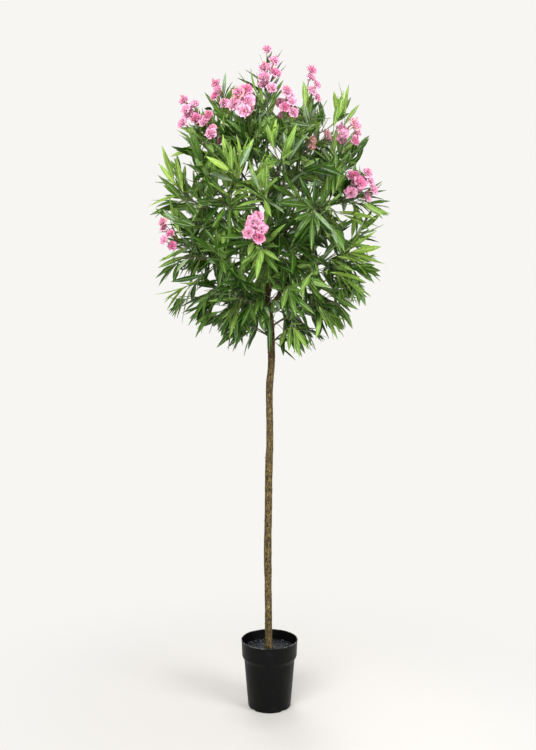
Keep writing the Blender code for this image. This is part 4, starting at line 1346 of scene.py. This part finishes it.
def grow_leaf(place, axis, angle, lean, share, tint, crown, rng, chosen=False):
    """Adds a leaf, turned until it stays in the crown, out of the openings and clear of the others."""
    best = None
    length = rng.uniform(*LEAF_LENGTH) * share
    width = rng.uniform(*LEAF_WIDTH) * min(1.0, 1.0 - LEAF_NARROWS + LEAF_NARROWS * share)
    bend, twist = rng.uniform(*LEAF_BEND), rng.uniform(-LEAF_TWIST, LEAF_TWIST)
    fold, wave = rng.uniform(*LEAF_FOLD), rng.uniform(-1, 1) * LEAF_WAVE
    tone = rng.random()
    droop = droop_at(place.z)
    first_swing, more_swing = LEAF_SWING
    for attempt in range(LEAF_TRIES):
        swing = rng.uniform(-0.5, 0.5) * (first_swing + more_swing * attempt)
        direction = around(axis, angle + swing, lean * rng.uniform(*LEAF_LEAN_UNEVEN))
        direction.z -= LEAF_DROOP * droop
        roll = LEAF_ROLL * Vector([rng.uniform(-1, 1) for _ in range(3)])
        facing = axis + LEAF_UPWARD * (1 - LOW_LEAF_OUTWARD * droop) * UP + roll
        axes = np.array(frame_towards(direction, facing))
        shrunk = length * (1.0 - LEAF_SHRINK * attempt)
        points = leaf_points(place, axes, shrunk, width, bend, twist, fold, wave)
        row = len(LEAF_ACROSS)
        centre = (points[1::row] + points[2::row]) / 2
        probes = np.stack([np.interp(LEAF_PROBES, LEAF_STATIONS, centre[:, i]) for i in range(3)], axis=1)
        if not all(inside(p, CHOSEN_OUT if chosen else leaf_margin(p)) for p in probes):
            continue
        if crown.openings.blocked(probes):
            continue
        gap = crown.room.gap(probes)
        if best is None or gap > best[0]:
            best = (gap, points, probes)
        if gap > LEAF_GAP:
            break
    if best is None or best[0] < LEAF_GAP * LEAF_LEAST_GAP:
        return
    _, points, probes = best
    crown.room.hold(probes)
    if chosen:
        crown.openings.keep_in_view(probes[::2])
    crown.leaves[tint].add(points, LEAF_FACES, grid_marks(LEAF_ACROSS, LEAF_STATIONS, tone), LEAF_KINDS)


# ---------------------------------------------------------------- twigs and shoots


def shoot_tips():
    """The tips of the side shoots: spread by area over a surface a little inside the crown's outline."""
    rng = chance_for("shoots")
    heights = np.linspace(SHOOT_LOWEST, SHOOT_HIGHEST, SHOOT_HEIGHTS)
    reaches = np.array([max(SHOOT_LEAST_REACH, crown_reach(z) - SHOOT_INSET) for z in heights])
    area = np.cumsum(reaches * np.hypot(1, np.gradient(reaches, heights)))
    made = []
    for i in range(SHOOTS):
        at = area[0] + (area[-1] - area[0]) * (i + 0.5) / SHOOTS
        height, reach = (float(np.interp(at, area, column)) for column in (heights, reaches))
        reach += rng.uniform(-SHOOT_UNEVEN, SHOOT_UNEVEN)
        if i % SHOOT_DEEP_EVERY == 0:
            reach *= SHOOT_DEEPER
        angle = i * GOLDEN_ANGLE
        made.append(Vector((reach * math.cos(angle), reach * math.sin(angle), height)))
    return made


def shoot_heading(tip, rng):
    """The way a shoot points at its end: outwards and hanging at the crown's foot, upright at its top."""
    span = SHOOT_HIGHEST - SHOOT_UPRIGHT_FROM - SHOOT_LOWEST
    rise = min(1.0, max(0.0, (tip.z - SHOOT_LOWEST) / span))
    outward = Vector((tip.x, tip.y, 0.0)).normalized() * (1.0 + (SHOOT_TOP_OUT - 1.0) * rise)
    upward = UP * (SHOOT_LOW_RISE + (SHOOT_TOP_RISE - SHOOT_LOW_RISE) * rise)
    wander = Vector([rng.uniform(-SHOOT_WANDER, SHOOT_WANDER) for _ in range(3)])
    return (outward + upward + wander).normalized()


def twig_foot(stem, tip):
    """Where on the stem the twig to a tip grows, and the stem's direction there."""
    places = np.asarray(stem)
    nearest = int(np.linalg.norm(places - np.array(tip), axis=1).argmin())
    step = np.linalg.norm(places[1] - places[0])
    back = int(TWIG_LEAD * np.linalg.norm(places[nearest] - np.array(tip)) / step)
    at = min(max(LIMB_FINENESS, nearest - back), len(places) - 2)
    return Vector(places[at]), Vector(places[at + 1] - places[at]).normalized()


def twig_line(foot, heading, tip, end_axis):
    """A curved twig that leaves along the heading and arrives along the end axis."""
    reach = (tip - foot).length
    straight = (tip - foot).normalized()
    leaving = TWIG_START * heading + (1 - TWIG_START) * straight
    arriving = ((1 - TWIG_END) * straight + TWIG_END * end_axis).normalized()
    first = foot + leaving * reach * TWIG_BEND
    second = tip - arriving * reach * TWIG_BEND
    return interpolate_bezier(foot, first, second, tip, TWIG_POINTS)


def point_on(line, lengths, along):
    """The place and direction at a distance along a line."""
    low = min(len(line) - 2, max(0, int(np.searchsorted(lengths, along)) - 1))
    axis = (line[low + 1] - line[low]).normalized()
    return line[low] + axis * (along - float(lengths[low])), axis


def tint_of(tip, rng):
    """A spray's leaf colour: fresher towards the crown's top and skin, with some chance in it."""
    rise = (tip.z - SHOOT_LOWEST) / (SHOOT_HIGHEST - SHOOT_LOWEST)
    skin = math.hypot(tip.x, tip.y) / max(TINY, crown_reach(tip.z))
    score = TINT_BY_RISE * rise + TINT_BY_SKIN * skin + rng.uniform(-TINT_SPREAD, TINT_SPREAD)
    return next(name for name, limit in TINT_STEPS if score < limit)


def spray(line, whorls, tint, crown, rng, chosen=False, length=1.0):
    """The leaves of one twig, whorl after whorl from its tip down."""
    lengths = lengths_along(np.array(line))
    turn = rng.random() * math.tau
    for number, (back, lean, share) in enumerate(whorls):
        along = float(lengths[-1]) - back * rng.uniform(*WHORL_UNEVEN)
        if along < WHORL_FROM_FOOT:
            break
        for i in range(WHORL_LEAVES):
            place, axis = point_on(line, lengths, along - i * WHORL_STAGGER)
            angle = turn + number * math.pi / WHORL_LEAVES + i * math.tau / WHORL_LEAVES
            leaf_tint = tint
            # a few leaves get the pale tint: a painted sheen, not a colour of their own
            if not chosen and rng.random() < PAINTED_SHEEN_SHARE:
                leaf_tint = "painted_sheen"
            elif not chosen and rng.random() < STRAY_TINT_SHARE:
                leaf_tint = tint_of(place, rng)
            grow_leaf(place, axis, angle, lean, share * length, leaf_tint, crown, rng, chosen)


class Crown:
    """The heaps that the crown's shapes go into, and the room that is left."""

    def __init__(self):
        self.leaves = {tint: Heap() for tint in LEAF_TINTS}
        self.stems = Heap()
        self.twigs = Heap()
        self.stalks = Heap()
        self.petals = {tint: Heap() for tint in PETAL_TINTS}
        self.throats = Heap()
        self.calyces = Heap()
        self.buds = Heap()
        self.room = Room(ROOM_CELL)
        self.openings = Openings()

    def add_twig(self, line, radius=TWIG_RADIUS, tip_radius=TWIG_TIP_RADIUS, heap=None):
        line = np.array([tuple(p) for p in line])
        (heap or self.twigs).add(*tube(line, np.linspace(radius, tip_radius, len(line)), TWIG_SIDES))


def grow_shoot(foot, heading, tip, end_axis, tint, crown, rng):
    """A twig with its leaves, and its own side twigs with theirs."""
    low = tip.z < LOW_SHOOTS
    length = LOW_LEAF_SHARE if low else 1.0
    whorls, side_whorls = (LOW_TWIG_WHORLS, LOW_SIDE_WHORLS) if low else (TWIG_WHORLS, SIDE_WHORLS)
    line = twig_line(foot, heading, tip, end_axis)
    crown.add_twig(line)
    spray(line, WHORLS[:whorls], tint, crown, rng, length=length)
    lengths = lengths_along(np.array(line))
    if lengths[-1] < SIDE_TWIG_LEAST:
        return
    turn = rng.random() * math.tau
    for number, share in enumerate(SIDE_TWIG_SHARES):
        place, axis = point_on(line, lengths, share * float(lengths[-1]))
        direction = around(axis, turn + number * GOLDEN_ANGLE, SIDE_TWIG_LEAN)
        side_tip = place + direction * rng.uniform(*SIDE_TWIG_LENGTH)
        if rng.random() < SIDE_TWIG_CHANCE and inside(side_tip, -SIDE_TWIG_INSET):
            side = twig_line(place, axis, side_tip, (direction + SIDE_TWIG_AHEAD * axis).normalized())
            crown.add_twig(side, TWIG_RADIUS * SIDE_TWIG_THINNER)
            side_tint = tint if rng.random() < SIDE_TINT_KEPT else tint_of(side_tip, rng)
            spray(side, WHORLS[:side_whorls], side_tint, crown, rng, length=length)


# ---------------------------------------------------------------- blossom shapes


def petal_points(ring, open_lean, scale, phase):
    """One petal's corners before it is turned to its place: out along X, up along Z."""
    reach = PETAL_LENGTH * scale
    ease = np.clip(PETAL_ALONG / PETAL_OPENS_BY, 0, 1)
    lean = ring.foot_lean + (open_lean - ring.foot_lean) * (3 * ease**2 - 2 * ease**3)
    lean = lean + ring.curl * np.clip(PETAL_ALONG - PETAL_CURLS_FROM, 0, 1)
    steps = np.diff(PETAL_ALONG) * reach
    middle = (lean[1:] + lean[:-1]) / 2
    out = PETAL_FOOT * scale + np.concatenate([[0.0], np.cumsum(np.sin(middle) * steps)])
    rise = np.concatenate([[0.0], np.cumsum(np.cos(middle) * steps)])
    points = []
    for row, along in enumerate(PETAL_ALONG):
        half = PETAL_OUTLINE[row] * ring.width * PETAL_WIDTH * scale / 2
        for u in PETAL_ACROSS:
            lift = ring.cup * half * u**2 + ring.tilt * half * u
            waves = sum(strength * math.sin(turn * u + shift * phase) for strength, turn, shift in RUFFLES)
            lift += ring.ruffle * scale * waves * along**2
            back = PETAL_ROUND * reach * u**2 * along**3
            x = out[row] - math.cos(lean[row]) * lift - math.sin(lean[row]) * back
            z = rise[row] + math.sin(lean[row]) * lift - math.cos(lean[row]) * back
            points.append((x, u * half, z))
    return np.array(points)


PETAL_FACES = grid_faces(len(PETAL_ACROSS), len(PETAL_ALONG))


def add_petals(heap, place, ring, turn, tone, size, openness, rng):
    """A ring of petals. The place is a 4 by 4 matrix whose Z is the blossom's axis."""
    marks = grid_marks(PETAL_ACROSS, PETAL_ALONG, tone * ring.tone)
    for i in range(ring.petals):
        open_lean = ring.open_lean * openness * rng.uniform(*PETAL_UNEVEN)
        phase = rng.random() * math.tau
        local = petal_points(ring, open_lean, size * ring.scale, phase)
        spin = np.array(place @ Matrix.Rotation(turn + ring.turn + i * math.tau / ring.petals, 4, "Z"))
        heap.add(local @ spin[:3, :3].T + spin[:3, 3], PETAL_FACES, marks)


def add_blossom(middle, direction, size, openness, heaps, start, crown, rng):
    """A double blossom on its stalk: rings of ruffled petals, a dark fringed throat and a calyx tube."""
    mouth = middle - direction * BLOSSOM_SUNK * size
    base = Matrix.Translation(mouth) @ frame_towards(direction, UP).to_4x4()
    turn, tone = rng.random() * math.tau, rng.random()
    outer, inner = heaps
    rings = [(outer, OUTER_RING), *((inner, ring) for ring in INNER_RINGS), (crown.throats, THROAT_RING)]
    for heap, ring in rings:
        add_petals(heap, base, ring, turn, tone, size, openness, rng)
    calyx_end = mouth - direction * CALYX_LENGTH * size
    shares, radii = zip(*CALYX_OUTLINE)
    line = [tuple(mouth.lerp(calyx_end, share)) for share in shares]
    crown.calyces.add(*tube(line, np.array(radii) * CALYX_RADIUS * size, CALYX_SIDES))
    bend = (calyx_end - start).length * STALK_BEND
    first, second = start + UP * bend * STALK_BEND, calyx_end - direction * bend
    stalk = interpolate_bezier(start, first, second, calyx_end, STALK_POINTS)
    crown.add_twig(stalk, *STALK_RADII, crown.stalks)


def add_bud(start, foot, direction, long, crown):
    """A furled bud: a pointed spindle with spiral folds, on a thin stalk."""
    first, second = start.lerp(foot, STALK_BEND), foot - direction * BUD_STALK_END
    stalk = interpolate_bezier(start, first, second, foot, BUD_STALK_POINTS)
    crown.add_twig(stalk, *BUD_STALK_RADII, crown.stalks)
    shares, radii = zip(*BUD_OUTLINE)
    depth, turns_round, turns_along = BUD_FOLDS

    def folds(angle, along, radius):
        return depth * radius * math.sin(turns_round * angle + turns_along * along)

    line = [tuple(foot + direction * long * share) for share in shares]
    crown.buds.add(*tube(line, np.array(radii) * long, BUD_SIDES, folds))


def cluster_axis(middle):
    """The way a cluster faces: out from the trunk and up, and to the front unless it is at the back."""
    outwards, upwards, frontwards = CLUSTER_WAYS
    flat = Vector((middle.x, middle.y, 0.0))
    flat = flat.normalized() if flat.length > CLUSTER_ON_AXIS else Vector()
    forwards = Vector((0, -frontwards if middle.y < CLUSTER_FRONT else 0.0, 0))
    return (outwards * flat + upwards * UP + forwards).normalized()


def cluster_places(cluster, rng):
    """Each blossom's middle and size: a spiral up the cluster's leaning axis, narrower at the top."""
    lean = math.radians(cluster.lean)
    axis = Vector((math.sin(lean), 0.0, math.cos(lean)))
    first_angle = rng.uniform(0, math.tau)
    places = []
    for i in range(cluster.blossoms):
        share = (i + 0.5) / cluster.blossoms
        reach = 0.5 * cluster.width * (1 - CLUSTER_TAPER * share)
        angle = first_angle + i * GOLDEN_ANGLE
        offset = Vector((reach * math.cos(angle), CLUSTER_DEPTH * reach * math.sin(angle), 0.0))
        place = Vector(cluster.middle) + (share - 0.5) * cluster.height * axis + offset
        places.append((place, cluster.size * rng.uniform(1 - BLOSSOM_UNEVEN, 1 + BLOSSOM_UNEVEN)))
    return places


def nearest_on(line, target, first):
    """The point of a line, from the first on, which is nearest to a target."""
    return min(line[first:], key=lambda p: (p - target).length)


def blossom_heaps(name, crown, rng):
    """The heaps for a blossom's outer and inner petals."""
    pair = OWN_PAIRS.get(name)
    if pair is None:
        chance = rng.random()
        pair = next(colours for limit, colours in PETAL_PAIRS if chance < limit)
    return [crown.petals[colour] for colour in pair]


def grow_cluster(name, stem, crown, rng):
    """A cluster's twig, the blossoms and the buds on their stalks. Gives the twig."""
    middle = Vector(CLUSTERS[name].middle)
    outward = cluster_axis(middle)
    places = cluster_places(CLUSTERS[name], rng)
    top = max(place.z for place, _ in places) - middle.z
    tip = middle - outward * CLUSTER_TWIG_BACK + UP * CLUSTER_TWIG_RISE * top
    foot, heading = twig_foot(stem, tip)
    upwards, outwards = CLUSTER_TWIG_WAY
    twig = twig_line(foot, heading, tip, (upwards * UP + outwards * outward).normalized())
    crown.add_twig(twig)
    for place, size in places:
        back = middle - outward * CLUSTER_BACK + UP * CLUSTER_BACK_RISE * (place.z - middle.z)
        direction = ((place - back).normalized() + BLOSSOM_OUTWARDS * outward).normalized()
        start = nearest_on(twig, place - STALK_DROP * UP - STALK_BACK * outward, TWIG_POINTS // 2)
        openness = rng.uniform(*BLOSSOM_OPENNESS)
        add_blossom(place, direction, size, openness, blossom_heaps(name, crown, rng), start, crown, rng)
    for i in range(BUDS_IN_CLUSTER if len(places) > SMALL_CLUSTER else 1):
        leaning = around(UP, i * GOLDEN_ANGLE + BUD_FIRST_ANGLE, rng.uniform(*BUD_LEAN))
        direction = (leaning + BUD_OUTWARDS * outward).normalized()
        neighbour = nearest_on([place for place, _ in places], tip + BUD_REACH * direction, 0)
        bud_foot = neighbour + direction * rng.uniform(*BUD_AWAY)
        start = nearest_on(twig, bud_foot - BUD_STALK_DROP * UP, TWIG_POINTS // 2)
        add_bud(start, bud_foot, direction, rng.uniform(*BUD_LENGTH), crown)
    return twig


def clear_blossoms(crown):
    """Keeps leaves away from the blossoms and from the view of them."""
    for name, cluster in CLUSTERS.items():
        middle = Vector(cluster.middle)
        outward = cluster_axis(middle)
        for place, _ in cluster_places(cluster, chance_for(f"cluster {name}")):
            crown.room.hold([place, place - outward * BLOSSOM_DEPTH])
            if middle.y < CLUSTER_FRONT:
                crown.openings.clear_view(place)
        room = BLOSSOM_ROOM if cluster.blossoms > SMALL_CLUSTER else SMALL_CLUSTER_ROOM
        crown.openings.clear_room(middle, outward, room)


# ---------------------------------------------------------------- the crown


def make_limbs():
    """Each mass's fine limb line, and the number of the point where its bough ends."""
    rows = trunk_rows(SOURCE_TRUNK_STEPS)
    made = {}
    for name, (tip, root_height, share, _) in MASSES.items():
        coarse = limb_path(tip, root_height, rows)
        split = round(share * (LIMB_POINTS - 1)) * LIMB_FINENESS
        made[name] = (smooth_line([tuple(p) for p in coarse], LIMB_FINENESS), split)
    return made


def owner_of(point, limbs):
    """The mass whose limb passes nearest to a point."""
    return min(limbs, key=lambda name: np.linalg.norm(limbs[name][0] - np.array(point), axis=1).min())


def hold_limbs(limbs, crown):
    """Keeps leaves off the trunk and the limbs."""
    rows = trunk_rows(HELD_TRUNK_STEPS)
    skin, _ = tube(rows[:, :3], rows[:, 3] + TRUNK_CLEARANCE, HELD_TRUNK_SIDES)
    crown.room.hold(skin)
    for name, (line, split) in limbs.items():
        radius = MASSES[name][3] if split else HELD_STEM_RADIUS
        rings, _ = tube(line[LIMB_FINENESS::HELD_LIMB_SKIP], radius + LIMB_CLEARANCE, HELD_LIMB_SIDES)
        crown.room.hold(rings)


def grow_outer_shoots(limbs, crown):
    """The shoots with a place of their own."""
    rng = chance_for("outer shoots")
    for tip, end_axis, tint in OUTER_SHOOTS:
        line, split = limbs[owner_of(tip, limbs)]
        foot, heading = twig_foot(line[split:], tip)
        twig = twig_line(foot, heading, Vector(tip), Vector(end_axis).normalized())
        crown.add_twig(twig)
        spray(twig, OUTER_WHORLS, tint, crown, rng, chosen=True)


def grow_mass(name, limb, cluster_names, tips, crown):
    """One mass: its stem, the clusters and the shoots that it bears, and their leaves."""
    line, split = limb
    rng = chance_for(name)
    stem = line[split:]
    radii = np.linspace(BOUGH_TIP_RADIUS if split else MASSES[name][3], STEM_TIP_RADIUS, len(stem))
    crown.stems.add(*tube(stem, radii, STEM_SIDES, bark_relief(len(name), STEM_RELIEF)))
    for cluster_name in cluster_names:
        twig = grow_cluster(cluster_name, stem, crown, chance_for(f"cluster {cluster_name}"))
        spray(twig[:-CLUSTER_BARE], WHORLS[:CLUSTER_WHORLS], tint_of(twig[-1], rng), crown, rng)
    sparse = [Vector(p) for p in stem[::STEM_SKIP]]
    spray(sparse, WHORLS[:STEM_WHORLS], tint_of(Vector(stem[-1]), rng), crown, rng)
    for tip in tips:
        foot, heading = twig_foot(stem, tip)
        grow_shoot(foot, heading, tip, shoot_heading(tip, rng), tint_of(tip, rng), crown, rng)


def grow_crown():
    """All that grows from the limbs, each shoot and cluster on the limb that passes nearest to it."""
    limbs = make_limbs()
    crown = Crown()
    hold_limbs(limbs, crown)
    clear_blossoms(crown)
    crown.openings.settle()
    clusters = {name: [] for name in MASSES}
    for cluster_name, cluster in CLUSTERS.items():
        clusters[owner_of(cluster.middle, limbs)].append(cluster_name)
    shoots = {name: [] for name in MASSES}
    for tip in shoot_tips():
        shoots[owner_of(tip, limbs)].append(tip)
    grow_outer_shoots(limbs, crown)
    for name, limb in limbs.items():
        grow_mass(name, limb, clusters[name], shoots[name], crown)
    return limbs, crown


def make_crown_pieces(crown):
    for tint, heap in crown.leaves.items():
        blade, rib = LEAF_TINTS[tint]
        rough = GLOSSY_LEAF if tint in GLOSSY_TINTS else DULL_LEAF
        leaf = leaf_finish(f"leaf_{tint}", blade, rough)
        midrib = plain_finish(f"midrib_{tint}", midrib_look(rib))
        heap.piece(f"leaves_{tint}", "foliage", [leaf, midrib], MASS_NODES)
    plain = {name: plain_finish(name, look) for name, look in PLAIN_LOOKS.items()}
    crown.stems.piece("stems", "bark", [plain["twig_bark"]], MASS_NODES)
    crown.twigs.piece("twigs", "foliage", [plain["twig_green"]], MASS_NODES)
    crown.stalks.piece("flower_stalks", "foliage", [plain["flower_stalk"]], MASS_NODES)
    for tint, heap in crown.petals.items():
        petal = petal_finish(f"petal_{tint}", PETAL_TINTS[tint])
        heap.piece(f"petals_{tint}", "foliage", [petal], MASS_NODES)
    crown.throats.piece("blossom_throats", "foliage", [plain["throat"]], MASS_NODES)
    crown.calyces.piece("calyces", "foliage", [plain["calyx"]], MASS_NODES)
    crown.buds.piece("flower_buds", "foliage", [plain["bud"]], MASS_NODES)


# ---------------------------------------------------------------- stage


def floor_finish():
    """A pale floor, lit near the plant and with a painted shade on its left, that turns into the world's plain
    brightness further out.
    """
    made = Finish("studio_floor", specular=0.0, roughness=0.9)
    # painted shade: the floor's colour darkens towards the left
    side = made.remap(made.coordinate("X"), 0.0, 1.0, *FLOOR_SHADE_FADES_BETWEEN, interpolation_type="SMOOTHSTEP")
    tone = made.maths("ADD", side, made.maths("MULTIPLY", made.noise(scale=0.8, detail=2), FLOOR_CLOUDS))
    made.colour(made.ramp(tone, shades(FLOOR_COLOUR, ((0.0, FLOOR_PAINTED_SHADE_LEFT), (1.0, 1.0)))))
    distance = made.node("ShaderNodeVectorMath", operation="LENGTH")
    made.link(made.coords, distance.inputs[0])
    fade = made.remap(distance.outputs["Value"], 0.0, 1.0, *FLOOR_FADE, interpolation_type="SMOOTHSTEP")
    plain = made.node("ShaderNodeEmission")
    plain.inputs["Color"].default_value = (*WORLD_COLOUR, 1.0)
    mixed = made.node("ShaderNodeMixShader")
    made.link(fade, mixed.inputs["Fac"])
    made.link(made.shader.outputs["BSDF"], mixed.inputs[1])
    made.link(plain.outputs["Emission"], mixed.inputs[2])
    made.link(mixed.outputs["Shader"], made.tree.nodes["Material Output"].inputs["Surface"])
    return made.material


def make_floor():
    bpy.ops.mesh.primitive_circle_add(vertices=FLOOR_CORNERS, radius=FLOOR_RADIUS, fill_type="NGON")
    floor = bpy.context.object
    floor.name = "studio_floor"
    floor.data.materials.append(floor_finish())


def make_world():
    """Plain brightness behind the plant, which lights the plant itself less strongly."""
    world = bpy.data.worlds.new("studio")
    bpy.context.scene.world = world
    world.use_nodes = True
    tree = world.node_tree
    background = tree.nodes["Background"]
    background.inputs["Color"].default_value = (*WORLD_COLOUR, 1.0)
    path = tree.nodes.new("ShaderNodeLightPath")
    level = tree.nodes.new("ShaderNodeMapRange")
    level.inputs["To Min"].default_value = WORLD_LIGHT
    tree.links.new(path.outputs["Is Camera Ray"], level.inputs["Value"])
    tree.links.new(level.outputs["Result"], background.inputs["Strength"])


def make_lights():
    for name, (place, target, width, power) in LIGHTS.items():
        lamp = bpy.data.lights.new(name, "AREA")
        lamp.shape = "DISK"
        lamp.size = width
        lamp.energy = power
        holder = bpy.data.objects.new(name, lamp)
        holder.location = place
        holder.rotation_euler = (Vector(target) - Vector(place)).to_track_quat("-Z", "Y").to_euler()
        holder.visible_camera = False
        bpy.context.scene.collection.objects.link(holder)


def make_camera():
    lens = bpy.data.cameras.new("camera")
    lens.sensor_width = CAMERA_SENSOR
    lens.lens = CAMERA_LENS
    camera = bpy.data.objects.new("camera", lens)
    camera.location = CAMERA_PLACE
    camera.rotation_euler = (CAMERA_TILT, 0.0, 0.0)
    bpy.context.scene.collection.objects.link(camera)
    bpy.context.scene.camera = camera
    bpy.context.scene.view_settings.view_transform = "Standard"


# ---------------------------------------------------------------- the whole

bark = bark_finish()
make_pot()
make_filling()
make_stones()
make_trunk(bark)
limbs, crown = grow_crown()
make_boughs(limbs, bark)
make_crown_pieces(crown)
make_floor()
make_world()
make_lights()
make_camera()
